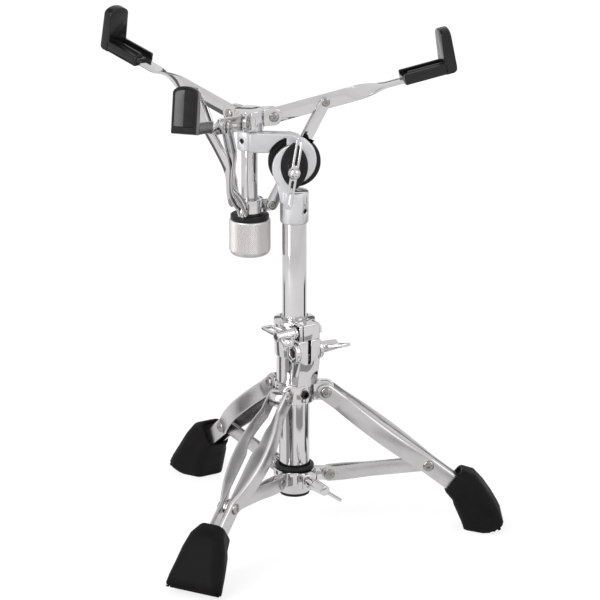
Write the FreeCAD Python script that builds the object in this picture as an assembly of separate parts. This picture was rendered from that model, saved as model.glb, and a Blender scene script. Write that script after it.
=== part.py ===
import FreeCAD, Part
import math
import os

# Snare drum stand with a folding tripod, a height clamp, a disc tilter and a three-arm basket.
# Millimetres, +Z up. The origin is on the floor, under the axis of the base tube.

# Fits
pin_fit = 0.05            # radial play of a rivet or bolt in its hole
head_play = 0.1           # between a rivet's head and the plate that turns under it
sleeve_fit = 0.1          # radial play of a tube in the part that holds it
slide_fit = 0.15          # radial play of a collar that slides on a tube
side_gap = 0.25           # play on each side of a plate that turns beside another
seat_gap = 0.4            # gap between turning castings
cut_margin = 5.0          # how far a cut runs past the face that it opens

# Tubes
base_tube_radius = 15.9
base_tube_wall = 1.5
base_tube_bottom = 43.0
plug_lip = 3.0
plug_depth = 14.0
upper_tube_wall = 1.4
upper_tube_above_plug = 5.0
tube_socket_roof = 6.0    # metal above the upper tube in the tilter's socket

# Tripod legs
leg_azimuths = {"right": 1.5, "rear": 121.5, "front": 241.5}
leg_pivot_height = 154.6
brace_pivot_radius = 140.5
brace_pivot_height = 70.9
leg_plate_thickness = 3.0
leg_plate_width = 18.0
leg_bow = 7.0             # outward bow of each plate at the middle of the leg
leg_straight_top = 20.0   # straight length below the pivot
leg_straight_above_brace = 16.3
rivet_radius = 4.0
rivet_head_radius = 7.0
rivet_head_height = 2.4
brace_rivet_radius = 3.2
brace_rivet_head_radius = 6.2

# Rubber feet
foot_reach = 84.0         # from the floor up the leg's line to the collar of the foot
foot_grip = 26.0          # length of the leg inside the foot
foot_fit = 0.2
foot_collar_depth = 31.0
foot_collar_width = 29.0
foot_collar_rise = 3.3    # of the collar's middle above the leg's line
foot_round = 11.0         # corners of the foot above its widest part
sole_corner = 6.0
# Setbacks run inward from the point where the leg's line meets the floor
instep_toe_setback = 27.4
instep_toe_height = 35.5
instep_toe_width = 58.0
instep_heel_setback = 62.9
instep_heel_height = 24.0
instep_heel_width = 31.0
edge_toe_setback = 10.9
edge_toe_height = 17.0
edge_toe_width = 70.0
edge_heel_setback = 55.9
edge_heel_height = 10.0
edge_heel_width = 31.0
sole_toe_setback = 14.4
sole_toe_width = 66.0
sole_heel_setback = 53.9
sole_heel_width = 28.0
sole_flat_length = 22.0   # from the heel to where the sole rises to the toe
sole_toe_rise = 9.0

# Leg collar
leg_collar_wall = 5.0
leg_collar_height = 21.5
leg_ear_reach = 11.6
leg_ear_round = 9.5
collar_screw_radius = 2.5
collar_screw_head_radius = 4.4
collar_screw_head_height = 2.6
collar_screw_key = 3.0
collar_screw_key_depth = 1.2

# Spreader collar and braces
brace_hub_height = 61.6
spreader_wall = 5.95
spreader_height = 18.0
spreader_ear_reach = 14.4
spreader_ear_round = 7.5
spreader_ear_half_width = 3.0
brace_width = 15.5
brace_cheek = 2.4
brace_bar_thickness = 5.0
brace_side_clearance = 2.5   # between a brace and the leg plates beside its outer end
brace_fold_clearance = 0.55  # between a brace's rivet heads and the leg plates when folded
brace_fork_depth = 20.0
brace_fork_root = 14.0
brace_hub_rivet_radius = 3.0
brace_hub_head_radius = 6.0
brace_hub_head_height = 1.6
bush_height = 4.5
bush_wall = 4.45
lug_azimuth = -57.0
lug_width = 18.0
lug_reach = 8.0
wing_bolt_radius = 3.0
wing_bolt_neck = 8.0
wing_bolt_point_gap = 0.3
wing_bolt_root = 1.0      # length of the bolt's shank sunk in its handle
wing_bolt_turn = -37.0

# Height clamp and memory lock
clamp_azimuth = -57.0
clamp_wall = 5.0
clamp_height = 51.25
clamp_block_width = 24.6
clamp_block_reach = 8.5
clamp_foot_reach = 3.0    # reach of the block at the clamp's lower end
clamp_foot_wall = 3.0     # wall of the clamp below its ring
clamp_ring_height = 21.3
clamp_slot = 3.6
clamp_slot_depth = 26.0
clamp_bolt_radius = 3.0
clamp_bolt_reach = 0.7
clamp_bolt_below_top = 12.9
clamp_hex_flats = 10.0
clamp_hex_height = 4.0
clamp_hex_recess = 1.0
clamp_boss_radius = 11.0
clamp_boss_length = 3.7
clamp_head_boss_length = 4.7
clamp_boss_root = 0.5     # how far a boss is sunk in the block
clamp_wing_turn = 13.6
bushing_wall = 1.45
bushing_length = 34.0
bushing_lip = 3.0
bushing_below_top = 3.0   # from the clamp's top down to the bushing's lip
lock_height = 17.1
lock_wall = 8.85
lock_slit = 1.2
lock_slit_offset = 8.0
lock_socket_radius = 7.4
lock_socket_depth = 3.0
lock_washer_radius = 6.0
lock_nut_standoff = 3.2
lock_wing_turn = 168.0

# Wing nuts
wing_hub_radius = 6.5
wing_hub_tip_radius = 5.4
wing_hub_length = 21.0
wing_span = 44.0
wing_thickness = 3.6
wing_root_height = 3.0
wing_root_depth = 1.0     # how far a wing is sunk in its hub
wing_tip_low = 13.0
wing_tip_high = 25.0
wing_rim = 2.6

# Tilter, with its axis along Y
tilt_height = 399.4
disc_radius = 27.0
disc_thickness = 6.8
disc_edge = 1.6
casting_thickness = 6.8
arm_layer_back = 4.0      # rear face of the upper casting's claw
lens_half_width = 14.0
lens_half_height = 25.0
claw_radius = 26.3
claw_shift_x = 3.6
claw_shift_z = 3.7
pad_thickness = 3.8
pad_boss_radius = 7.5
pad_boss_height = 2.0
socket_wall = 2.0
socket_height = 33.0
socket_below_axis = 29.0  # from the tilter's axis down to the socket's top
neck_depth = 11.0         # how far the neck runs down the socket's front
neck_right = 14.0
neck_left = 18.2
neck_left_height = 19.0   # below the tilter's axis
set_screw_radius = 2.4
set_screw_recess = 0.4
set_screw_key = 2.4
set_screw_key_depth = 1.2
base_screw_azimuth = -40.0
tilt_stud_radius = 4.0
tilt_head_flats = 13.0
tilt_head_height = 4.6
tilt_nut_flats = 13.0
tilt_nut_height = 5.0
tilt_hub_radius = 6.2
tilt_hub_bore_depth = 3.1 # depth of the bore past the middle of the ball
tilt_stem_radius = 5.2
tilt_stem_length = 12.0
tilt_wing_standoff = 5.2  # from the hexagon nut to the stem
tilt_wing_span = 77.0
tilt_wing_width = 7.4
tilt_wing_thickness = 4.2
tilt_wing_slot = 2.4
tilt_wing_rim = 3.0
tilt_wing_lean = 9.5
tilt_stud_tip_gap = 1.5

# Basket: rod, hub, arms, grips, links, spider and nut
basket_x = -46.0
basket_y = 15.0
basket_azimuths = {"right": 14.0, "left": 134.0, "front": 254.0}
rod_radius = 8.5
holder_wall = 4.05
holder_bottom = 11.0      # height above the tilter's axis
holder_height = 21.0
holder_nose = 8.0         # half the width of the holder's top above the claw
holder_nose_foot = 17.5   # height of the nose's foot above the tilter's axis
holder_nose_drop = 1.0
holder_screw_azimuth = -130.0
hub_wall = 6.45
hub_height = 21.5
hub_roof = 4.0
hub_cheek = 4.4
hub_lug_round = 9.0
arm_root_clearance = 1.5
arm_pivot_rise = 12.5     # above the hub's underside
arm_rise_angle = 11.8
arm_thickness = 3.0
arm_width = 16.0
arm_twist_steps = 6
arm_length = 188.8
arm_pin_radius = 3.0
arm_pin_head_radius = 5.2
arm_pin_head_height = 1.8
link_along = 56.2
link_twist_gap = 21.8     # from the link's pivot to the arm's twist
link_cheek = 2.5
link_width = 11.0
link_fork_depth = 34.0
link_lug_depth = 10.2     # depth of the lower fork past its pivot
link_pin_radius = 2.6
link_pin_head_radius = 4.6
link_pin_head_height = 1.6
spider_below_pivot = 94.2
spider_wall = 5.35
spider_height = 17.0
spider_link_clearance = 3.6
spider_lug_round = 6.4
spider_lug_half = 1.6
washer_height = 4.5
washer_wall = 11.35
nut_wall = 12.85
nut_height = 38.0
nut_edge = 4.0
nut_lip = 1.2
rod_past_washer = 34.0
grip_length = 56.5
grip_cap = 8.5            # plastic past the end of the arm
grip_arm_gap = 0.3
grip_twist_gap = 25.8     # from the arm's twist to the grip
grip_width = 25.4
grip_foot_low = 2.8       # below the arm's middle
grip_foot_high = 8.7      # above the arm's middle
grip_rim = 3.6
grip_channel_depth = 4.2
grip_upright_thickness = 13.5
grip_crown_thickness = 10.0
grip_shoulder_height = 36.7
grip_crown_rise = 7.0
grip_ridge_width = 8.0
grip_ridge_drop = 0.8     # from the rims down to the ridge's top
grip_ridge_setback = 6.0
grip_ridge_root = 1.0
grip_fit = 0.15

# Derived sizes and places
upper_tube_radius = base_tube_radius - base_tube_wall - sleeve_fit - bushing_wall - slide_fit
leg_collar_radius = base_tube_radius + sleeve_fit + leg_collar_wall
leg_pivot_radius = leg_collar_radius + leg_ear_reach
leg_drop = leg_pivot_height - brace_pivot_height
leg_spread = math.atan2(brace_pivot_radius - leg_pivot_radius, leg_drop)
leg_along = FreeCAD.Vector(math.sin(leg_spread), 0, -math.cos(leg_spread))
leg_normal = FreeCAD.Vector(math.cos(leg_spread), 0, math.sin(leg_spread))
brace_on_leg = math.hypot(brace_pivot_radius - leg_pivot_radius, leg_drop)
leg_floor_radius = leg_pivot_radius + leg_pivot_height * math.tan(leg_spread)
foot_start = leg_pivot_height / math.cos(leg_spread) - foot_reach
brace_fork_half = spreader_ear_half_width + side_gap + brace_cheek
leg_ear_half_width = brace_fork_half + brace_hub_head_height + brace_fold_clearance
plate_inner = leg_ear_half_width + side_gap
leg_foot_half_gap = brace_bar_thickness / 2 + brace_side_clearance
spreader_radius = base_tube_radius + slide_fit + spreader_wall
brace_hub_radius = spreader_radius + spreader_ear_reach
spreader_top = brace_hub_height + spreader_ear_round
spreader_bottom = spreader_top - spreader_height
bush_radius = base_tube_radius + slide_fit + bush_wall
lug_face = spreader_radius + lug_reach
clamp_radius = base_tube_radius + sleeve_fit + clamp_wall
clamp_block_face = clamp_radius + clamp_block_reach
clamp_foot_face = clamp_radius + clamp_foot_reach
clamp_foot_radius = base_tube_radius + sleeve_fit + clamp_foot_wall
clamp_bolt_offset = clamp_radius + clamp_bolt_reach
clamp_bottom = leg_pivot_height + leg_collar_height / 2
clamp_top = clamp_bottom + clamp_height
clamp_bolt_height = clamp_top - clamp_bolt_below_top
base_tube_top = clamp_top - bushing_below_top - bushing_lip
lock_radius = upper_tube_radius + slide_fit + lock_wall
lock_bottom = clamp_top
lock_top = lock_bottom + lock_height
lock_bolt_height = lock_bottom + lock_height / 2
socket_radius = upper_tube_radius + sleeve_fit + socket_wall
socket_top = tilt_height - socket_below_axis
socket_bottom = socket_top - socket_height
upper_tube_top = socket_top - tube_socket_roof
upper_tube_bottom = base_tube_bottom + plug_depth + upper_tube_above_plug
disc_front = arm_layer_back + seat_gap
disc_back = disc_front + disc_thickness
claw_front = arm_layer_back - casting_thickness
base_claw_back = claw_front - seat_gap
base_claw_front = base_claw_back - casting_thickness
pad_front = base_claw_front - pad_thickness
pad_boss_front = pad_front - pad_boss_height
tilt_nut_front = pad_boss_front - tilt_nut_height
tilt_stem_back = tilt_nut_front - tilt_wing_standoff
tilt_hub_y = tilt_stem_back - tilt_stem_length
tilt_bore_end = tilt_hub_y - tilt_hub_bore_depth
lens_radius = (lens_half_height ** 2 + lens_half_width ** 2) / (2 * lens_half_width)
lens_centre = lens_radius - lens_half_width
holder_radius = rod_radius + pin_fit + holder_wall
holder_low = tilt_height + holder_bottom
holder_top = holder_low + holder_height
hub_core_radius = rod_radius + pin_fit + hub_wall
hub_bottom = holder_top
hub_top = hub_bottom + hub_height
arm_half_gap = arm_thickness / 2 + side_gap
arm_pivot_radius = hub_core_radius + arm_width / 2 + arm_root_clearance
arm_pivot_height = hub_bottom + arm_pivot_rise
arm_rise = math.radians(arm_rise_angle)
arm_along = FreeCAD.Vector(math.cos(arm_rise), 0, math.sin(arm_rise))
arm_normal = FreeCAD.Vector(-math.sin(arm_rise), 0, math.cos(arm_rise))
arm_pivot = FreeCAD.Vector(arm_pivot_radius, 0, arm_pivot_height)
grip_end = arm_length + grip_cap
grip_start = grip_end - grip_length
arm_twist_end = grip_start - grip_twist_gap
arm_twist_start = link_along + link_twist_gap
arm_twist_length = arm_twist_end - arm_twist_start
link_half_width = arm_half_gap + link_cheek
link_top = arm_pivot + arm_along * link_along
spider_radius = rod_radius + slide_fit + spider_wall
spider_pivot_radius = spider_radius + link_width / 2 + spider_link_clearance
spider_pivot_height = arm_pivot_height - spider_below_pivot
link_bottom = FreeCAD.Vector(spider_pivot_radius, 0, spider_pivot_height)
spider_bottom = spider_pivot_height - spider_height / 2
spider_top = spider_bottom + spider_height
washer_radius = rod_radius + slide_fit + washer_wall
nut_radius = rod_radius + slide_fit + nut_wall
nut_top = spider_bottom - washer_height
nut_bottom = nut_top - nut_height
basket_axis = FreeCAD.Vector(basket_x, basket_y, 0)

X_AXIS = FreeCAD.Vector(1, 0, 0)
Y_AXIS = FreeCAD.Vector(0, 1, 0)
Z_AXIS = FreeCAD.Vector(0, 0, 1)
ORIGIN = FreeCAD.Vector(0, 0, 0)
FLAT = 1e-6               # least length that counts as one


def at(x, y, z):
    """A point or a direction."""
    return FreeCAD.Vector(x, y, z)


def heading(azimuth):
    """The level unit vector at an azimuth in degrees."""
    return at(math.cos(math.radians(azimuth)), math.sin(math.radians(azimuth)), 0)


def leaning(level, angle):
    """A level direction turned up by an angle in degrees."""
    return level * math.cos(math.radians(angle)) + Z_AXIS * math.sin(math.radians(angle))


def turned(shape, azimuth):
    """A copy turned about the Z axis."""
    return shape.rotated(ORIGIN, Z_AXIS, azimuth)


def at_legs(shape):
    """A copy of a shape at each leg."""
    return [turned(shape, azimuth) for azimuth in leg_azimuths.values()]


def at_arms(shape):
    """A copy of a shape at each basket arm, around the Z axis."""
    return [turned(shape, azimuth) for azimuth in basket_azimuths.values()]


def basket_side(shape, azimuth):
    """A copy of a piece made on the basket's own axis, turned to an arm and put in place."""
    return turned(shape, azimuth).translated(basket_axis)


def aimed(shape, base, z_way, x_way):
    """A copy moved from its own axes to a base point, with its Z and X axes aimed."""
    turn = FreeCAD.Rotation(x_way, z_way.cross(x_way), z_way, "ZXY")
    return shape.transformed(FreeCAD.Placement(base, turn).toMatrix(), True)


def rod(radius, start, end):
    """A round bar between two points."""
    return Part.makeCylinder(radius, (end - start).Length, start, end - start)


def cross_rod(radius, centre, half_length):
    """A round bar along Y, centred on a point."""
    return rod(radius, centre - Y_AXIS * half_length, centre + Y_AXIS * half_length)


def post(radius, low, high):
    """An upright round bar on the Z axis."""
    return Part.makeCylinder(radius, high - low, at(0, 0, low), Z_AXIS)


def tube(radius, bore, low, high):
    """An upright tube on the Z axis."""
    return post(radius, low, high).cut(post(bore, low, high))


def across(radius, front, back, x=0.0, z=tilt_height):
    """A round bar along Y between two planes, on the tilter's axis unless placed elsewhere."""
    return Part.makeCylinder(radius, back - front, at(x, front, z), Y_AXIS)


def block(low, high):
    """A box between two corners."""
    size = high - low
    return Part.makeBox(size.x, size.y, size.z, low)


def prism(points, way):
    """A solid swept in a straight line from a closed outline of points."""
    return Part.Face(Part.makePolygon(points + points[:1])).extrude(way)


def side_prism(outline, front, back):
    """A solid from an outline of (x, z) points, between two planes across Y."""
    return prism([at(x, front, z) for x, z in outline], at(0, back - front, 0))


def joined(first, *others):
    """One solid from overlapping pieces."""
    return first.fuse(list(others)).removeSplitter()


def dome(radius, height, base, way):
    """A round rivet head on a flat seat."""
    sphere = (radius ** 2 + height ** 2) / (2 * height)
    ball = Part.makeSphere(sphere, base + way * (height - sphere))
    return ball.common(Part.makeCylinder(radius, 2 * height, base, way))


def rivet(radius, head_radius, head_height, centre, half_length):
    """A rivet along Y, with a domed head at each end of its shank."""
    far = dome(head_radius, head_height, centre + Y_AXIS * half_length, Y_AXIS)
    near = dome(head_radius, head_height, centre - Y_AXIS * half_length, Y_AXIS * -1)
    return joined(cross_rod(radius, centre, half_length), far, near)


def studs(radius, head_radius, head_height, centre, inner, outer):
    """The two ends of a rivet along Y, each with its domed head and with nothing between them."""
    ends = []
    for way in (Y_AXIS, Y_AXIS * -1):
        seat = centre + way * outer
        shank = rod(radius, centre + way * inner, seat)
        ends.append(joined(shank, dome(head_radius, head_height, seat, way)))
    return ends


def hexagon(flats, base, way, length):
    """A level hexagonal bar, with two corners up and down."""
    sides = 6
    corner = flats / math.sqrt(3)
    points = [heading(360 / sides * i) * corner for i in range(sides)]
    return aimed(prism(points, at(0, 0, length)), base, way, Z_AXIS)


def stadium(start, end, half_width, half_thickness):
    """A flat bar in the XZ plane with round ends about its two points."""
    side = (end - start).cross(Y_AXIS).normalize() * half_width
    lift = Y_AXIS * half_thickness
    corners = [start + side - lift, end + side - lift, end - side - lift, start - side - lift]
    bar = prism(corners, lift * 2)
    ends = [cross_rod(half_width, point, half_thickness) for point in (start, end)]
    return joined(bar, *ends)


def rounded_outline(points, corner):
    """A closed flat outline through points, with round corners."""
    arcs = []
    for before, point, after in zip(points[-1:] + points[:-1], points, points[1:] + points[:1]):
        back, on = (before - point).normalize(), (after - point).normalize()
        half_angle = back.getAngle(on) / 2
        reach = corner / math.tan(half_angle)
        middle = (back + on).normalize() * (corner / math.sin(half_angle) - corner)
        arcs.append(Part.Arc(point + back * reach, point + middle, point + on * reach).toShape())
    edges = []
    for arc, following in zip(arcs, arcs[1:] + arcs[:1]):
        line = Part.LineSegment(arc.Vertexes[-1].Point, following.Vertexes[0].Point)
        edges += [arc, line.toShape()]
    return Part.Wire(edges)


def foot_outline(heel, heel_width, toe, toe_width, corner):
    """A four-sided outline across a foot, from its heel point to its toe point."""
    corners = [heel - Y_AXIS * (heel_width / 2), toe - Y_AXIS * (toe_width / 2),
               toe + Y_AXIS * (toe_width / 2), heel + Y_AXIS * (heel_width / 2)]
    return rounded_outline(corners, corner)


def wing_nut(bore):
    """A wing nut on its own Z axis: a tapered hub and two windowed wings along X."""
    hub = Part.makeCone(wing_hub_radius, wing_hub_tip_radius, wing_hub_length)
    tip = wing_span / 2
    root = wing_hub_tip_radius - wing_root_depth
    half = wing_thickness / 2
    outline = [(root, wing_root_height), (tip, wing_tip_low), (tip, wing_tip_high),
               (root, wing_hub_length - wing_root_depth)]
    window_root = wing_hub_radius + wing_rim / 2
    window_tip = tip - wing_rim
    lower = (wing_tip_low - wing_root_height) / (tip - root)
    window = [(window_root, wing_root_height + lower * (window_root - root) + wing_rim),
              (window_tip, wing_root_height + lower * (window_tip - root) + wing_rim),
              (window_tip, wing_tip_high - wing_rim), (window_root, wing_hub_length - wing_rim)]
    wing = side_prism(outline, -half, half).cut(side_prism(window, -half, half))
    nut = joined(hub, wing, turned(wing, 180))
    return nut.cut(post(bore, 0, wing_hub_length))


def make_base():
    """The base tube and its plug, and the leg collar with its screws."""
    bore = base_tube_radius - base_tube_wall
    stem = post(bore - sleeve_fit, base_tube_bottom, base_tube_bottom + plug_depth)
    lip = post(base_tube_radius, base_tube_bottom - plug_lip, base_tube_bottom)

    low = leg_pivot_height - leg_collar_height / 2
    pivot = at(leg_pivot_radius, 0, leg_pivot_height)
    inner = at(0, 0, leg_pivot_height)
    ear = stadium(inner, pivot, leg_ear_round, leg_ear_half_width)
    hole = cross_rod(rivet_radius + pin_fit, pivot, leg_ear_half_width)
    collar = joined(post(leg_collar_radius, low, clamp_bottom), *at_legs(ear)).cut(at_legs(hole))
    collar = collar.cut(post(base_tube_radius + sleeve_fit, low, clamp_bottom))

    seat = inner + X_AXIS * (leg_collar_radius - collar_screw_head_height / 2)
    head_end = seat + X_AXIS * collar_screw_head_height
    shank = rod(collar_screw_radius, inner + X_AXIS * (base_tube_radius + 2 * sleeve_fit), seat)
    head = rod(collar_screw_head_radius, seat, head_end)
    key = hexagon(collar_screw_key, head_end, X_AXIS * -1, collar_screw_key_depth)
    screw = turned(joined(shank, head).cut(key), 180)
    screw_hole = rod(collar_screw_radius + pin_fit, inner, seat)
    counterbore = rod(collar_screw_head_radius + pin_fit, seat, head_end)
    openings = [turned(cut, 180) for cut in (screw_hole, counterbore)]
    return {
        "base_tube": tube(base_tube_radius, bore, base_tube_bottom, base_tube_top),
        "base_tube_plug": joined(stem, lip),
        "leg_collar": collar.cut([cut for opening in openings for cut in at_legs(opening)]),
        "leg_collar_screws": Part.makeCompound(at_legs(screw)),
    }


def clamp_frame():
    """The clamp block's outward way, and the way along its bolts to the wing nut's side."""
    return heading(clamp_azimuth), heading(clamp_azimuth + 90)


def make_clamp():
    """The height clamp casting with its bushing, hexagon bolt and wing nut."""
    out, side = clamp_frame()
    half = clamp_block_width / 2
    shoulder = clamp_top - clamp_slot_depth
    profile = [(0, clamp_bottom), (clamp_foot_face, clamp_bottom), (clamp_block_face, shoulder),
               (clamp_block_face, clamp_top), (0, clamp_top)]
    lug = turned(side_prism(profile, -half, half), clamp_azimuth)
    bolt_centre = out * clamp_bolt_offset + Z_AXIS * clamp_bolt_height
    head_face = bolt_centre - side * (half + clamp_head_boss_length)
    boss_face = bolt_centre + side * (half + clamp_boss_length)
    boss_root = side * (half - clamp_boss_root)
    bosses = [rod(clamp_boss_radius, bolt_centre - boss_root, head_face),
              rod(clamp_boss_radius, bolt_centre + boss_root, boss_face)]
    slot_half = clamp_slot / 2
    slot_end = clamp_bolt_offset + clamp_boss_radius + cut_margin
    slot = block(at(0, -slot_half, shoulder), at(slot_end, slot_half, clamp_top))
    hex_depth = clamp_hex_recess + clamp_hex_height
    ring = post(clamp_radius, clamp_top - clamp_ring_height, clamp_top)
    body = joined(ring, post(clamp_foot_radius, clamp_bottom, clamp_top), lug, *bosses).cut([
        post(base_tube_radius + sleeve_fit, clamp_bottom, clamp_top),
        turned(slot, clamp_azimuth),
        rod(clamp_bolt_radius + pin_fit, head_face, boss_face),
        hexagon(clamp_hex_flats + 2 * pin_fit, head_face, side, hex_depth),
    ])

    nut_seat = boss_face + side * seat_gap
    head = hexagon(clamp_hex_flats, head_face + side * clamp_hex_recess, side, clamp_hex_height)
    shank = rod(clamp_bolt_radius, head_face + side * hex_depth, nut_seat + side * wing_hub_length)
    nut = wing_nut(clamp_bolt_radius + pin_fit)

    bore = upper_tube_radius + slide_fit
    lip = tube(base_tube_radius, bore, base_tube_top, base_tube_top + bushing_lip)
    sleeve = tube(bore + bushing_wall, bore, base_tube_top - bushing_length, base_tube_top)
    return {
        "height_clamp": body,
        "clamp_bushing": joined(sleeve, lip),
        "clamp_bolt": joined(head, shank),
        "clamp_wing_nut": aimed(nut, nut_seat, side, leaning(out, clamp_wing_turn)),
    }


def leg_place(along, lateral=0.0, up=0.0):
    """A point on a leg, from its pivot along it, to its side and up from its middle."""
    pivot = at(leg_pivot_radius, 0, leg_pivot_height)
    return pivot + leg_along * along + Y_AXIS * lateral + leg_normal * up


def leg_plate(sign):
    """One bowed plate of a leg, on the side of the sign."""
    half = leg_plate_width / 2
    bow_end = brace_on_leg - leg_straight_above_brace
    middle = (leg_straight_top + bow_end) / 2
    bow = (plate_inner + leg_foot_half_gap) / 2 + leg_bow
    leg_end = foot_start + foot_grip
    stations = [(-half, plate_inner), (leg_straight_top, plate_inner), (middle, bow),
                (bow_end, leg_foot_half_gap), (leg_end, leg_foot_half_gap)]
    inner = [leg_place(s, sign * y, -half) for s, y in stations]
    outer = [leg_place(s, sign * (y + leg_plate_thickness), -half) for s, y in stations]
    edges = [
        Part.LineSegment(inner[0], inner[1]), Part.Arc(*inner[1:4]), Part.LineSegment(inner[3], inner[4]),
        Part.LineSegment(inner[4], outer[4]), Part.LineSegment(outer[4], outer[3]),
        Part.Arc(*outer[3:0:-1]), Part.LineSegment(outer[1], outer[0]), Part.LineSegment(outer[0], inner[0]),
    ]
    face = Part.Face(Part.Wire([edge.toShape() for edge in edges]))
    strip = face.extrude(leg_normal * leg_plate_width)
    reach = bow + leg_plate_thickness + cut_margin
    rounded = strip.common(stadium(leg_place(0), leg_place(leg_end), half, reach))
    return rounded.cut([cross_rod(rivet_radius + pin_fit, leg_place(0), reach),
                        cross_rod(brace_rivet_radius + pin_fit, leg_place(brace_on_leg), reach)])


def make_foot():
    """One rubber foot: a collar on the leg that spreads to a sole with a raised toe."""
    def spot(setback, height):
        return at(leg_floor_radius - setback, 0, height)

    half_depth = foot_collar_depth / 2
    collar_heel = leg_place(foot_start, 0, foot_collar_rise - half_depth)
    collar_toe = leg_place(foot_start, 0, foot_collar_rise + half_depth)
    collar = foot_outline(collar_heel, foot_collar_width, collar_toe, foot_collar_width, foot_round)
    instep = foot_outline(spot(instep_heel_setback, instep_heel_height), instep_heel_width,
                          spot(instep_toe_setback, instep_toe_height), instep_toe_width, foot_round)
    edge = foot_outline(spot(edge_heel_setback, edge_heel_height), edge_heel_width,
                        spot(edge_toe_setback, edge_toe_height), edge_toe_width, sole_corner)
    sole = foot_outline(spot(sole_heel_setback, 0), sole_heel_width,
                        spot(sole_toe_setback, 0), sole_toe_width, sole_corner)
    flat_end = spot(sole_heel_setback - sole_flat_length, 0)
    toe = spot(sole_toe_setback, sole_toe_rise)
    wedge_end = toe + (toe - flat_end)
    under_toe = prism([flat_end - Y_AXIS * edge_toe_width, wedge_end - Y_AXIS * edge_toe_width,
                       at(wedge_end.x, -edge_toe_width, 0)], Y_AXIS * (2 * edge_toe_width))
    pocket = stadium(leg_place(foot_start), leg_place(foot_start + foot_grip), leg_plate_width / 2 + foot_fit,
                     leg_foot_half_gap + leg_plate_thickness + foot_fit)
    upper = Part.makeLoft([collar, instep, edge], True)
    lower = Part.makeLoft([edge, sole], True, True)
    return joined(upper, lower).cut([under_toe, pocket])


def make_leg(name, azimuth):
    """One leg: two bowed plates, its pivot rivet, its brace studs and its rubber foot."""
    main_rivet = rivet(rivet_radius, rivet_head_radius, rivet_head_height, leg_place(0),
                       plate_inner + leg_plate_thickness)
    brace_studs = studs(brace_rivet_radius, brace_rivet_head_radius, rivet_head_height,
                        leg_place(brace_on_leg), leg_foot_half_gap, leg_foot_half_gap + leg_plate_thickness)
    pieces = {
        f"leg_plate_{name}_a": leg_plate(1),
        f"leg_plate_{name}_b": leg_plate(-1),
        f"leg_rivets_{name}": Part.makeCompound([main_rivet] + brace_studs),
        f"foot_{name}": make_foot(),
    }
    return {node: turned(shape, azimuth) for node, shape in pieces.items()}


def make_spreader():
    """The sliding spreader collar with its bush, its rivets and its wing bolt."""
    pivot = at(brace_hub_radius, 0, brace_hub_height)
    ear = stadium(at(0, 0, brace_hub_height), pivot, spreader_ear_round, spreader_ear_half_width)
    bore = base_tube_radius + slide_fit
    out = heading(lug_azimuth)
    middle = at(0, 0, (spreader_bottom + spreader_top) / 2)
    lug = block(at(0, -lug_width / 2, spreader_bottom), at(lug_face, lug_width / 2, spreader_top))
    pin = rivet(brace_hub_rivet_radius, brace_hub_head_radius, brace_hub_head_height, pivot,
                brace_fork_half + head_play)
    hole = cross_rod(brace_hub_rivet_radius + pin_fit, pivot, brace_fork_half)
    point = middle + out * (base_tube_radius + wing_bolt_point_gap)
    face = middle + out * lug_face
    ring = post(spreader_radius, spreader_bottom, spreader_top)
    collar = joined(ring, turned(lug, lug_azimuth), *at_legs(ear))
    collar = collar.cut([post(bore, spreader_bottom, spreader_top), *at_legs(hole),
                         rod(wing_bolt_radius + pin_fit, point, face)])

    seat = face + out * wing_bolt_neck
    shank = rod(wing_bolt_radius, point, seat + out * wing_bolt_root)
    wings = joined(wing_nut(wing_bolt_radius), post(wing_bolt_radius, 0, wing_hub_length))
    handle = aimed(wings, seat, out, leaning(heading(lug_azimuth + 90), wing_bolt_turn))
    return {
        "spreader_collar": collar,
        "spreader_bush": tube(bush_radius, bore, spreader_top, spreader_top + bush_height),
        "spreader_rivets": Part.makeCompound(at_legs(pin)),
        "spreader_wing_bolt": joined(shank, handle),
    }


def make_brace():
    """One brace: a bar that forks over the spreader's ear and ends between the leg's plates."""
    inner = at(brace_hub_radius, 0, brace_hub_height)
    outer = at(brace_pivot_radius, 0, brace_pivot_height)
    way = (outer - inner).normalize()
    half = brace_width / 2
    fork = stadium(inner, inner + way * (brace_fork_depth + brace_fork_root), half, brace_fork_half)
    slot = stadium(inner - way * brace_width, inner + way * (brace_fork_depth - half), half + cut_margin,
                   spreader_ear_half_width + side_gap)
    hole = cross_rod(brace_hub_rivet_radius + pin_fit, inner, brace_fork_half)
    return joined(stadium(inner, outer, half, brace_bar_thickness / 2), fork).cut([slot, hole])


def make_lock():
    """The memory lock on the upper tube, with its bolt and wing nut."""
    out, side = clamp_frame()
    half = clamp_block_width / 2
    lug = block(at(0, -half, lock_bottom), at(clamp_block_face, half, lock_top))
    slit = block(at(0, -lock_slit_offset - lock_slit / 2, lock_bottom),
                 at(clamp_block_face, -lock_slit_offset + lock_slit / 2, lock_top))
    centre = out * clamp_bolt_offset + Z_AXIS * lock_bolt_height
    nut_face = centre - side * half
    head_face = centre + side * half
    socket_floor = nut_face + side * lock_socket_depth
    clear = side * lock_radius
    body = joined(post(lock_radius, lock_bottom, lock_top), turned(lug, clamp_azimuth)).cut([
        post(upper_tube_radius + slide_fit, lock_bottom, lock_top),
        turned(slit, clamp_azimuth),
        rod(clamp_bolt_radius + pin_fit, nut_face, head_face),
        rod(lock_socket_radius, nut_face - clear, socket_floor),
        rod(lock_socket_radius, head_face, head_face + clear),
    ])
    eye_face = nut_face - side * lock_nut_standoff
    seat = eye_face - side * seat_gap
    head = hexagon(clamp_hex_flats, head_face, side, clamp_hex_height)
    shank = rod(clamp_bolt_radius, head_face, seat - side * wing_hub_length)
    eye = rod(lock_washer_radius, eye_face, socket_floor)
    nut = wing_nut(clamp_bolt_radius + pin_fit)
    return {
        "memory_lock": body,
        "lock_bolt": joined(head, shank, eye),
        "lock_wing_nut": aimed(nut, seat, side * -1, leaning(out, lock_wing_turn)),
    }


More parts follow.
